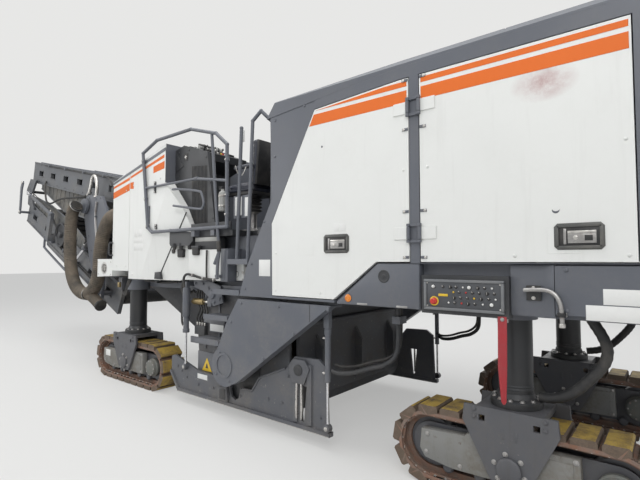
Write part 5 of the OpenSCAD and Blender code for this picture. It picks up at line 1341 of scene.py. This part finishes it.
# outer half: cover ribs, top bars, drive motor and its pipe, work lamps and hand grips at its free end
p = Piece("outer_fittings", "conveyor_outer", CONVEYOR, BRIGHT, RUBBER, GREY, DARK, GLASS, REDP, place=OUTER)
for i in range(9):
    u = 0.5 + i * 0.39
    p.box((u, -0.52, -0.662), (u + 0.04, 0.52, -0.648), 0)
for p.k in (1, -1):
    p.tube([(0.3, 0.555, -0.664), (3.9, 0.555, -0.664)], 0.012, 3, 10)
    p.lathe((3.86, 0.59, -0.415), Y, [(0.085, 0), (0.085, 0.03), (0.06, 0.036), (0.06, 0.105),
                                      (0.045, 0.112), (0, 0.112)], 3, 32)
    p.bolts(0.62, 0.009, 0.008, 1, *ring_places(3.86, -0.415, 0.07, 6))
    route = [(3.86, 0.7, -0.455), (3.82, 0.705, -0.52), (3.7, 0.69, -0.59), (3.4, 0.625, -0.62),
             (2.6, 0.62, -0.615), (1.5, 0.62, -0.618), (0.7, 0.62, -0.615)]
    p.pipe(route, 0.012, 2)
    for u in (0.9, 1.7, 2.5, 3.3):
        p.box((u, 0.589, -0.642), (u + 0.028, 0.638, -0.6), 3)
    # work lamp on a bracket
    p.box((3.985, 0.4, -0.64), (4.0, 0.52, -0.56), 3)
    p.lathe((3.99, 0.46, -0.6), X, [(0.0, 0.0), (0.045, 0), (0.055, 0.01), (0.055, 0.022)], 4, 28)
    p.lathe((3.99, 0.46, -0.6), X, [(0.05, 0.018), (0.03, 0.024), (0, 0.026)], 5, 28)
    route = [(3.93, 0.591, -0.32), (3.96, 0.65, -0.33), (3.97, 0.655, -0.42), (3.96, 0.65, -0.52),
             (3.93, 0.591, -0.53)]
    p.pipe(route, 0.01, 3)
p.box((3.962, -0.5, -0.33), (3.985, 0.5, -0.24), 2)
for i in range(9):
    p.bolt((3.985, -0.44 + i * 0.11, -0.262), X, 0.01, 0.006, 1)
p.done(0.002)

# lift cylinders
p = Piece("lift_barrel_trim", "lift_barrels", GREY, BRIGHT, RUBBER)
a, b = Vector((2.255, 0, 2.25)), Vector((3.37, 0, 1.612))
d = (b - a).normalized()
up = Vector((-d.z, 0, d.x))
for p.k in (1, -1):
    y = Vector((0, 0.685, 0))
    for u0, u1 in ((0.045, 0.095), (0.76, 0.826)):
        p.lathe(a + y + d * u0, d, [(0.042, 0), (0.049, 0.004), (0.049, u1 - u0 - 0.004),
                                    (0.042, u1 - u0)], 0, 32)
    for u in (0.07, 0.79):
        p.cyl(a + y + d * u + up * 0.04, a + y + d * u + up * 0.074, 0.014, 1, 8)
    line = [a + y + d * u + up * h for u, h in ((0.79, 0.072), (0.74, 0.086), (0.45, 0.066), (0.16, 0.07),
                                                (0.1, 0.1))]
    p.pipe(line, 0.01, 2)
p.done(0.0015)

# dusty side sheets that close the gap between the folded halves, with their ribs, top rod and a hose loop
p = Piece("inner_side_sheets", "conveyor_inner", SHEET, CONVEYOR, STEEL, place=INNER)
for p.k in (1, -1):
    p.prism([(1.3, 0.2), (3.88, 0.2), (3.88, 0.4), (3.0, 0.5), (1.95, 0.52), (1.3, 0.43)], 0.566, 0.574, 0)
    for i in range(13):
        u = 1.42 + i * 0.185
        p.box((u, 0.573, 0.215), (u + 0.03, 0.58, 0.395), 0)
    p.tube([(1.3, 0.57, 0.432), (1.95, 0.57, 0.522), (3.0, 0.57, 0.502), (3.88, 0.57, 0.402)], 0.014, 1, 10)
p.done(0.0015)
p = Piece("outer_side_sheets", "conveyor_outer", SHEET, CONVEYOR, RUBBER, place=OUTER)
for p.k in (1, -1):
    p.prism([(0.45, -0.235), (3.0, -0.235), (2.9, 0.19), (1.7, 0.19), (0.45, -0.12)], 0.548, 0.556, 0)
    for i in range(11):
        u = 0.86 + i * 0.195
        foot = min(0.165, -0.12 + (u - 0.45) * 0.248 - 0.03)
        p.prism([(u, -0.232), (u + 0.034, -0.232), (u + 0.034, foot), (u, foot)], 0.555, 0.563, 0)
    p.tube([(0.45, 0.552, -0.12), (1.7, 0.552, 0.192), (2.9, 0.552, 0.192)], 0.013, 1, 10)
    route = [(0.78, 0.6, -0.3), (0.86, 0.64, -0.2), (1.02, 0.65, 0.06), (1.18, 0.65, 0.11), (1.33, 0.648,
            0.09), (1.6, 0.64, -0.01), (1.9, 0.63, -0.08), (2.3, 0.62, -0.14), (2.7, 0.61, -0.22),
            (2.86, 0.6, -0.3)]
    p.pipe(route, 0.017, 2, 12)
p.done(0.0015)


# operator's place: seats, consoles, ladders, railing details
SEAT_X, SEAT_Y, DECK = -1.42, 0.76, 1.95
CLOTH_FRAMES, MOST_PUFF = 16, 0.016


def soft_block(name, size, corner, crown):
    """Crowned cushion mesh round the origin; size along x, y, z, its flat side down."""
    bm = bmesh.new()
    bmesh.ops.create_cube(bm, size=1.0)
    bmesh.ops.scale(bm, vec=size, verts=bm.verts)
    bmesh.ops.bevel(bm, geom=list(bm.edges), offset=corner, segments=4, affect="EDGES", profile=0.5)
    me = bpy.data.meshes.new(name)
    bm.to_mesh(me)
    bm.free()
    ob = bpy.data.objects.new(name, me)
    bpy.context.scene.collection.objects.link(ob)
    me.remesh_voxel_size = 0.012
    bpy.context.view_layer.objects.active = ob
    ob.select_set(True)
    bpy.ops.object.voxel_remesh()
    me = ob.data
    hx, hy, hz = (s / 2 for s in size)
    rest = [v.co.copy() for v in me.vertices]
    pins = ob.vertex_groups.new(name="seat_base")
    pins.add([v.index for v in me.vertices if v.co.z < -hz + 0.015], 1.0, "ADD")
    cloth = ob.modifiers.new("cloth", "CLOTH")
    cloth.settings.quality = 4
    cloth.settings.use_pressure = True
    cloth.settings.uniform_pressure_force = 4.0
    cloth.settings.tension_stiffness = 18
    cloth.settings.vertex_group_mass = "seat_base"
    cloth.settings.effector_weights.gravity = 0.0
    cloth.point_cache.frame_start = 1
    cloth.point_cache.frame_end = CLOTH_FRAMES
    for f in range(1, CLOTH_FRAMES + 1):
        bpy.context.scene.frame_set(f)
    dg = bpy.context.evaluated_depsgraph_get()
    puffed = [v.co.copy() for v in ob.evaluated_get(dg).data.vertices]
    ob.modifiers.clear()
    ob.vertex_groups.clear()
    bpy.context.scene.frame_set(1)
    for v, a, b in zip(me.vertices, rest, puffed):
        d = b - a
        v.co = a + d * min(1.0, MOST_PUFF / max(d.length, 1e-9))
    for v, a in zip(me.vertices, rest):
        # crowned top, sides drawn in between the corners
        u, w = min(1.0, abs(a.x) / hx), min(1.0, abs(a.y) / hy)
        if a.z > 0:
            v.co.z += crown * (1 - u ** 3) * (1 - w ** 3)
        side = max(0.0, 1 - abs(a.z) / hz)
        v.co.x -= math.copysign(0.006 * side * (1 - w * w), a.x) if u > 0.85 else 0.0
        v.co.y -= math.copysign(0.006 * side * (1 - u * u), a.y) if w > 0.85 else 0.0
        # sewn channels
        if a.z > hz * 0.4:
            for line in (-0.3, 0.3):
                v.co.z -= 0.007 * math.exp(-((a.y / hy - line) * hy / 0.009) ** 2) * (1 - u ** 6)
            v.co.z -= 0.006 * math.exp(-((math.hypot(u, w) - 0.98) / 0.05) ** 2)
    sub = ob.modifiers.new("smooth", "SUBSURF")
    sub.levels = 1
    dg = bpy.context.evaluated_depsgraph_get()
    done = bpy.data.meshes.new_from_object(ob.evaluated_get(dg))
    bpy.data.objects.remove(ob)
    done.polygons.foreach_set("use_smooth", [True] * len(done.polygons))
    return done


def place_pad(mesh, name, matrix):
    me = mesh.copy()
    me.name = name
    me.transform(matrix)
    ob = bpy.data.objects.new(name, me)
    bpy.context.scene.collection.objects.link(ob)
    me.materials.clear()
    me.materials.append(SEAT)
    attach(ob, "chassis")


def seam(p, matrix, hx, hy, z, m):
    """Piping round a cushion at height z."""
    ring = []
    for i in range(40):
        a = 2 * math.pi * i / 40
        c, s = math.cos(a), math.sin(a)
        q = (abs(c) ** 5 + abs(s) ** 5) ** -0.2
        ring.append(matrix @ Vector((hx * c * q, hy * s * q, z)))
    p.tube(ring, 0.0045, m, 8, closed=True)


CUSHION = soft_block("cushion", (0.425, 0.405, 0.085), 0.024, 0.012)
BACK = soft_block("backrest", (0.49, 0.4, 0.08), 0.026, 0.01)
BASE = Matrix.Translation((SEAT_X, SEAT_Y, DECK + 0.475))
LEAN = Matrix.Translation((SEAT_X - 0.213, SEAT_Y, DECK + 0.738)) @ Matrix.Rotation(math.radians(85), 4, "Y")
for side, k in MIR.items():
    across = Matrix.Translation((0, (k - 1) * SEAT_Y, 0))
    place_pad(CUSHION, f"seat_cushion_{side}", across @ BASE)
    place_pad(BACK, f"seat_back_{side}", across @ LEAN)
    p = Piece(f"seat_frame_{side}", "chassis", PLASTIC, STEEL, RUBBER, SEAT, k=k)
    seam(p, BASE, 0.2125, 0.2025, 0.012, 3)
    seam(p, LEAN, 0.245, 0.2, 0.008, 3)
    p.box((SEAT_X - 0.2, SEAT_Y - 0.19, DECK + 0.4), (SEAT_X + 0.2, SEAT_Y + 0.19, DECK + 0.4335), 0)
    p.lathe((SEAT_X, SEAT_Y, DECK + 0.001), Z, [(0, 0), (0.15, 0), (0.15, 0.018), (0.06, 0.03),
                                                (0.045, 0.04), (0.045, 0.2), (0.075, 0.225)], 1, 32)
    folds = [(0.075 + 0.03 * (i % 2), 0.225 + i * 0.0195) for i in range(10)]
    p.lathe((SEAT_X, SEAT_Y, DECK), Z, folds + [(0.0, 0.402)], 2, 32)
    # shell behind the backrest and the armrests
    p.faces([tuple(LEAN @ Vector(q)) for q in ((-0.235, -0.185, -0.06), (0.235, -0.185, -0.06),
                                               (0.235, 0.185, -0.06), (-0.235, 0.185, -0.06),
                                               (-0.24, -0.192, -0.036), (0.24, -0.192, -0.036),
                                               (0.24, 0.192, -0.036), (-0.24, 0.192, -0.036))], SIX)
    for s in (-1, 1):
        y = SEAT_Y + s * 0.218
        p.tube([(SEAT_X - 0.215, y, DECK + 0.52), (SEAT_X - 0.218, y, DECK + 0.69)], 0.011, 1, 10)
        p.tube(curve_points([(SEAT_X - 0.225, y, DECK + 0.69), (SEAT_X - 0.1, y, DECK + 0.696),
                             (SEAT_X + 0.06, y, DECK + 0.69)], 4), [0.02] + [0.024] * 6 + [0.023, 0.018],
                             3, 14)
    frame_piece = p.done(0.002)
    if k > 0:
        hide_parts("seats")

# consoles: panels, switches, levers, steering wheel, rolled covers and the wings
for side, k in MIR.items():
    p = Piece(f"console_{side}", "chassis", DARK, PLASTIC, BRIGHT, LABEL, PALE, REDP, YELLOWP, RUBBER, k=k)
    slope = math.atan2(2.99 - 2.87, 0.33)
    at = Matrix.Translation((-0.82, 0.78, 2.93)) @ Matrix.Rotation(-slope, 4, "Y")

    def on(x, y, z):
        return at @ Vector((x, y, z))

    for cy, w, h in ((0.1, 0.13, 0.1), (-0.12, 0.15, 0.12)):
        b = [on(u, cy + v, 0.002 + t) for t in (0, 0.022) for u, v in ((-h / 2, -w / 2), (h / 2, -w / 2),
                (h / 2, w / 2), (-h / 2, w / 2))]
        p.faces(b, SIX, 1)
    for i in range(6):
        for j in range(2):
            c = on(-0.1 + j * 0.045, -0.02 + i * 0.026, 0.0)
            p.cyl(c, c + Vector((0, 0, 0.018)), 0.008, (2, 5, 6, 1, 2, 1)[(i + j) % 6], 14)
    for i in range(3):
        c = on(0.115, -0.16 + i * 0.12, 0.0)
        p.cyl(c, c + Vector((0.004, 0, 0.045)), 0.005, 2, 8)
        p.lathe(c + Vector((0.004, 0, 0.044)), (0.1, 0, 1), [(0, 0), (0.01, 0.003), (0.013, 0.016),
                                                             (0.008, 0.027), (0, 0.029)], 1, 16)
    # small steering wheel
    p.tube([on(u, v, 0.055) for u, v in ring_places(-0.035, 0.235, 0.07, 24)], 0.009, 7, 8, closed=True)
    p.cyl(on(-0.035, 0.235, -0.01), on(-0.035, 0.235, 0.055), 0.012, 1, 12)
    for u, v in ring_places(-0.035, 0.235, 0.07, 3):
        p.tube([on(-0.035, 0.235, 0.052), on(u, v, 0.055)], 0.005, 1, 6)
    # pale rolled covers along the sloping top
    for x, z, r in ((-0.475, 3.01, 0.04), (-0.655, 3.014, 0.036)):
        p.lathe((x, 0.6, z), Y, [(0, 0), (r - 0.008, 0), (r, 0.01), (r, 0.33), (r - 0.008, 0.34),
                                 (0, 0.34)], 4, 24)
        for y in (0.66, 0.86):
            p.lathe((x, y, z), Y, [(r + 0.001, 0), (r + 0.003, 0.003), (r + 0.003, 0.022),
                                   (r + 0.001, 0.025)], 1, 24)
    # latch on the wing, and a corner plate with its bolts
    p.box((-0.68, 1.1135, 2.81), (-0.61, 1.1185, 2.895), 1)
    p.lathe((-0.645, 1.118, 2.85), Y, [(0.018, 0), (0.018, 0.008), (0.01, 0.012), (0, 0.012)], 2, 16)
    p.prism([(-0.44, 2.95), (-0.44, 2.69), (-0.6, 2.75)], 1.1135, 1.12, 0)
    p.bolts(1.114, 0.009, 0.005, 0, (-1.16, 2.1), (-1.1, 2.5), (-1.03, 2.8), (-0.7, 2.93), (-0.5, 2.92),
            (-0.5, 2.65))
    # ribbed rubber flap in the recess, held by a strip
    for i in range(11):
        x = -1.06 + i * 0.026
        top = 2.7 + 0.1 * (x + 1.06)
        p.prism([(x, 2.01), (x + 0.014, 2.01), (x + 0.034, top), (x + 0.02, top)], 1.113, 1.118, 7)
    p.done(0.002)

    p = Piece(f"extinguisher_{side}", "chassis", PALE, PLASTIC, BRIGHT, k=k)
    x, y = -1.255, 1.06
    p.lathe((x, y, 2.17), Z, [(0, 0), (0.036, 0), (0.044, 0.008), (0.045, 0.19), (0.036, 0.216),
                              (0.018, 0.226), (0.016, 0.246), (0, 0.248)], 0, 28)
    p.box((x - 0.012, y - 0.012, 2.412), (x + 0.05, y + 0.012, 2.432), 1)
    p.box((x - 0.012, y - 0.01, 2.438), (x + 0.06, y + 0.01, 2.448), 1)
    for z in (2.22, 2.33):
        p.lathe((x, y, z), Z, [(0.0455, 0), (0.048, 0.002), (0.048, 0.018), (0.0455, 0.02)], 2, 28)
    p.box((x - 0.02, y - 0.075, 2.19), (x + 0.02, y - 0.043, 2.35), 2)
    p.done(0.001)

# deck: studs of the tread plate; ladders: grip studs; rails: clamps and plates
p = Piece("deck_treads", "chassis", DARK, BRIGHT)
for i in range(24):
    for j in range(40):
        x, y = -2.09 + i * 0.05, -1.16 + j * 0.0595
        if x < -1.58 and abs(y) > 0.9:
            continue
        s = 1 if (i + j) % 2 else -1
        a = [(x - 0.014, y - s * 0.012), (x - 0.01, y - s * 0.016), (x + 0.014, y + s * 0.012),
             (x + 0.01, y + s * 0.016)]
        p.faces([(u, v, DECK - 0.0005) for u, v in a] + [(u, v, DECK + 0.0025) for u, v in a], SIX[1:], 0)
p.done(0, smooth=False)

TREADS = [(-1.437, -1.02, 0.8), (-1.572, -1.18, 1.06), (-1.745, -1.33, 1.33), (-1.866, -1.56, 1.64)]
for side, k in MIR.items():
    p = Piece(f"tread_grips_{side}", "chassis", GREY, BRIGHT, k=k)
    for x0, x1, z in TREADS:
        n = int((x1 - x0) / 0.034)
        for i in range(n):
            x = x0 + 0.02 + i * (x1 - x0 - 0.04) / (n - 1)
            for y in (1.125, 1.165, 1.205):
                p.cyl((x, y, z - 0.0005), (x, y, z + 0.004), 0.008, 0, 8, r2=0.005)
        p.box((x0, 1.2385, z - 0.046), (x1, 1.2425, z + 0.008), 0)
    p.done()

    p = Piece(f"rail_fittings_{side}", "chassis", GREY, BRIGHT, LABEL, RUBBER, PLASTIC, k=k)
    y = 1.273
    for x, z in ((-1.5885, 2.1), (-1.587, 2.3), (-1.5835, 2.66), (-0.1, 2.045), (-0.05, 2.39), (0.02, 2.87)):
        p.lathe((x, y, z - 0.02), Z, [(0.019, 0), (0.0235, 0.002), (0.0235, 0.038), (0.019, 0.04)], 0, 20)
        p.bolt((x, y + 0.0235, z), Y, 0.007, 0.008, 1)
    # white plates by the ladder
    p.box((-1.727, 1.196, 2.088), (-1.626, 1.199, 2.277), 2)
    p.box((-1.832, 1.196, 2.076), (-1.773, 1.199, 2.264), 2)
    p.box((-1.7, 1.18, 2.835), (-1.745, 1.183, 2.965), 2)
    p.box((-1.86, 1.186, 2.06), (-1.6, 1.1955, 2.29), 0)
    # chain across the way in
    sag = [(-1.64 - 0.055 * t, 1.215 - 0.1 * t, 2.6 - 0.1 * math.sin(math.pi * t)) for t in [i / 12
            for i in range(13)]]
    p.pipe(sag, 0.0055, 1, 8, 3)
    # rubber sleeves on the foot of the slanted post
    p.lathe((-1.4585, y, 1.835), (-0.11, 0, -0.99), [(0.0168, 0), (0.0225, 0.004), (0.0225, 0.11),
                                                     (0.0168, 0.114)], 3, 16)
    p.done(0.001)

    # grey jacket on the rear end of the white box under the deck, a drain pipe, the foot of the slanted post,
    # a dark box with hanging rubber blocks beside the wing's foot, and a hose arch
    p = Piece(f"step_jacket_{side}", "chassis", GREY, STEEL, RUBBER, DARK, PALE, k=k)
    p.box((-1.538, 1.026, 1.414), (-1.425, 1.2155, 1.756), 0)
    p.box((-1.5, 1.214, 1.44), (-1.47, 1.221, 1.735), 0)
    drain = [(-1.205, 1.225, 1.745), (-1.206, 1.228, 1.64), (-1.207, 1.228, 1.52), (-1.208, 1.226, 1.44)]
    p.pipe(drain, 0.01, 2)
    foot = [(-1.472, 1.273, 1.74), (-1.462, 1.271, 1.68), (-1.442, 1.265, 1.61), (-1.426, 1.258, 1.53),
            (-1.42, 1.254, 1.44)]
    p.pipe(foot, 0.0165, 0, 14)
    p.box((-1.45, 1.212, 1.455), (-1.385, 1.258, 1.485), 0)
    p.box((-1.36, 1.1, 1.752), (-0.952, 1.196, 1.889), 3)
    p.box((-1.35, 1.19, 1.84), (-0.96, 1.2005, 1.886), 4)
    for x0, x1, y0, y1, z0, z1 in ((-0.57, -0.51, 1.15, 1.205, 1.715, 1.762), (-0.735, -0.625, 1.15, 1.205,
            1.668, 1.762), (-1.075, -0.965, 1.213, 1.245, 1.69, 1.775)):
        ring = [(x0, z1), (x1, z1), (x1 - 0.006, z0 + 0.012), (x1 - 0.018, z0), (x0 + 0.018, z0),
                (x0 + 0.006, z0 + 0.012)]
        p.prism(ring, y0, y1, 2)
    p.box((-1.085, 1.205, 1.768), (-0.955, 1.248, 1.795), 3)
    arch = [(-0.8, 1.222, 1.33), (-0.795, 1.226, 1.43), (-0.85, 1.228, 1.478), (-0.965, 1.228, 1.47),
            (-1.15, 1.228, 1.44), (-1.34, 1.226, 1.43)]
    p.pipe(arch, 0.0135, 2, 12)
    for x, z in ((-0.965, 1.47), (-1.15, 1.44), (-1.335, 1.43)):
        p.box((x - 0.01, 1.208, z - 0.018), (x + 0.01, 1.2435, z + 0.018), 1)
    p.done(0.003)

    # pale box under the deck with its screws
    p = Piece(f"deck_box_{side}", "chassis", WHITE, BRIGHT, DARK, RUBBER, k=k)
    p.prism([(-1.655, 1.425), (-1.545, 1.425), (-1.545, 1.64), (-1.655, 1.64)], 1.03, 1.1, 0)
    p.bolts(1.1, 0.006, 0.004, 1, (-1.64, 1.44), (-1.56, 1.44), (-1.64, 1.625), (-1.56, 1.625))
    p.done(0.003)



# dust hoses: the same routes as the solids they stand for
HOSE_FRONT = [(2.7, 0.939, 2.56), (2.8, 0.955, 2.48), (2.85, 0.965, 2.25), (2.83, 0.975, 1.8),
              (2.74, 0.98, 1.45), (2.56, 0.985, 1.23), (2.3, 0.99, 1.12), (2.05, 0.995, 1.13),
              (1.84, 1.0, 1.24), (1.73, 1.0, 1.45), (1.7, 1.0, 1.75), (1.62, 1.0, 2.02),
              (1.45, 0.98, 2.26), (1.24, 0.93, 2.328), (0.9895, 0.93, 2.3)]
HOSE_SIDE = [(1.0297, 0.76, 2.18), (1.18, 0.77, 2.15), (1.25, 0.785, 2.02), (1.255, 0.8, 1.85),
             (1.255, 0.8, 1.6553)]


def even_line(points, step):
    """Points of a smooth line at equal distances."""
    fine = curve_points(points, 24)
    out = [fine[0].copy()]
    left = step
    for a, b in zip(fine, fine[1:]):
        d = (b - a).length
        while d >= left:
            a = a + (b - a) * (left / d)
            out.append(a.copy())
            d = (b - a).length
            left = step
        left -= d
    out.append(fine[-1].copy())
    return out


def spiral_hose(name, points, r, pitch, depth, branch=None):
    """Hose wall with rounded ribs; the wire ribs stand depth proud."""
    line = even_line(points, pitch / 4)
    wave = (0.0, 0.75, 1.0, 0.75)
    radii = [r - depth + depth * wave[i % 4] for i in range(len(line))]
    p = Piece(name, None, HOSE, BRIGHT, RUBBER)
    p.tube(line, radii, 0, 28)
    # cuffs and band clamps at both ends
    n = len(line)
    for i0, i1 in ((0, min(n - 1, 6)), (max(0, n - 8), n - 1)):
        p.tube(line[i0:i1 + 1], r + 0.003, 2, 28)
        mid = (i0 + i1) // 2
        p.tube(line[mid:mid + 2], r + 0.006, 1, 28)
    if branch:
        stub = even_line(branch, pitch / 4)
        last = len(stub) - 1
        p.tube(stub, [0.82 * r - depth + depth * wave[i % 4] for i in range(len(stub))], 0, 24)
        p.tube(stub[:7], r + 0.002, 2, 28)
        p.tube(stub[2:4], r + 0.006, 1, 28)
        p.tube(stub[last - 4:], 0.82 * r + 0.004, 2, 24)
        p.lathe(stub[last], stub[last] - stub[last - 1], [(0.82 * r, -0.004), (0.82 * r, 0.01),
                                                          (0, 0.012)], 2, 24)
    return p.done()


# capped branch at the lowest point of the loop
BRANCH = [(2.1, 0.994, 1.12), (1.95, 1.0, 1.08), (1.85, 1.003, 1.048), (1.74, 1.006, 1.005),
          (1.62, 1.01, 0.955)]
front_hose = spiral_hose("dust_hose", HOSE_FRONT, 0.098, 0.03, 0.007, BRANCH)
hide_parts("dust_hose_front")
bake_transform(front_hose)
side_hose = spiral_hose("vent_hose", HOSE_SIDE, 0.078, 0.024, 0.005)
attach(side_hose, "chassis")
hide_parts("dust_hose_side")
# camera
right = Vector((-0.7806, -0.6251, 0.0))
ahead = Vector((0.6251, -0.7806, 0.0))
pitch = math.radians(2.68)
look = ahead * math.cos(pitch) + Vector((0, 0, 1)) * math.sin(pitch)
up = right.cross(look)
cam_data = bpy.data.cameras.new("camera")
cam_data.sensor_width = 36.0
cam_data.lens = 24.975
cam = bpy.data.objects.new("camera", cam_data)
bpy.context.scene.collection.objects.link(cam)
m = Matrix((right, up, -look)).transposed().to_4x4()
m.translation = Vector((-5.125, 4.18, 1.63))
cam.matrix_world = m
cam_data.clip_start, cam_data.clip_end = 0.05, 200
bpy.context.scene.camera = cam

# stage and light; the camera sees a pale floor and a pale background
PALE_VIEW = (0.8, 0.8, 0.79)
ground = Nodes(bpy.data.materials.new("pale_floor"))
ground.set(Base_Color=(0.66, 0.655, 0.64), Roughness=0.8)
seen = ground.times(ground.node("LightPath", {}, "Is Camera Ray"), 0.5)
blend = ground.node("MixShader", {0: seen, 1: ground.bsdf.outputs[0], 2: ground.node("Emission",
        {0: PALE_VIEW})})
ground.put(ground.tree.nodes["Material Output"].inputs[0], blend)
me = bpy.data.meshes.new("floor")
me.from_pydata([(-60, -60, 0), (60, -60, 0), (60, 60, 0), (-60, 60, 0)], [], [(0, 1, 2, 3)])
me.materials.append(ground.mat)
floor = bpy.data.objects.new("floor", me)
bpy.context.scene.collection.objects.link(floor)

world = bpy.data.worlds.new("studio")
bpy.context.scene.world = world
sky = Nodes(world)
back = sky.tree.nodes["Background"]
back.inputs[0].default_value = (0.93, 0.96, 1.0, 1)
back.inputs[1].default_value = 0.5
rays = sky.node("LightPath", {}).node.outputs
direct = sky.math("MAXIMUM", rays["Is Camera Ray"], rays["Is Glossy Ray"])
direct = sky.math("MAXIMUM", direct, rays["Is Transmission Ray"])
pale = sky.node("Background", {0: PALE_VIEW, 1: 1.0})
blend = sky.node("MixShader", {0: direct, 1: back.outputs[0], 2: pale})
sky.put(sky.tree.nodes["World Output"].inputs[0], blend)


def area(name, loc, target, size, power):
    d = bpy.data.lights.new(name, "AREA")
    d.shape = "RECTANGLE"
    d.size, d.size_y = size
    d.energy = power
    o = bpy.data.objects.new(name, d)
    bpy.context.scene.collection.objects.link(o)
    o.location = loc
    o.rotation_mode = "QUATERNION"
    o.rotation_quaternion = (Vector(target) - Vector(loc)).to_track_quat("-Z", "Y")


area("key", (-7.5, 9.0, 8.5), (-1.0, 0.0, 1.2), (7, 4), 520)
area("top", (0.0, 2.0, 9.5), (0.0, 0.0, 0.0), (12, 5), 620)
area("front_fill", (7.0, 8.0, 4.0), (2.0, 0.0, 1.5), (5, 4), 200)
area("back_fill", (0.0, -9.0, 6.0), (0.0, 0.0, 1.5), (9, 4), 260)

bpy.context.scene.view_settings.view_transform = "Standard"
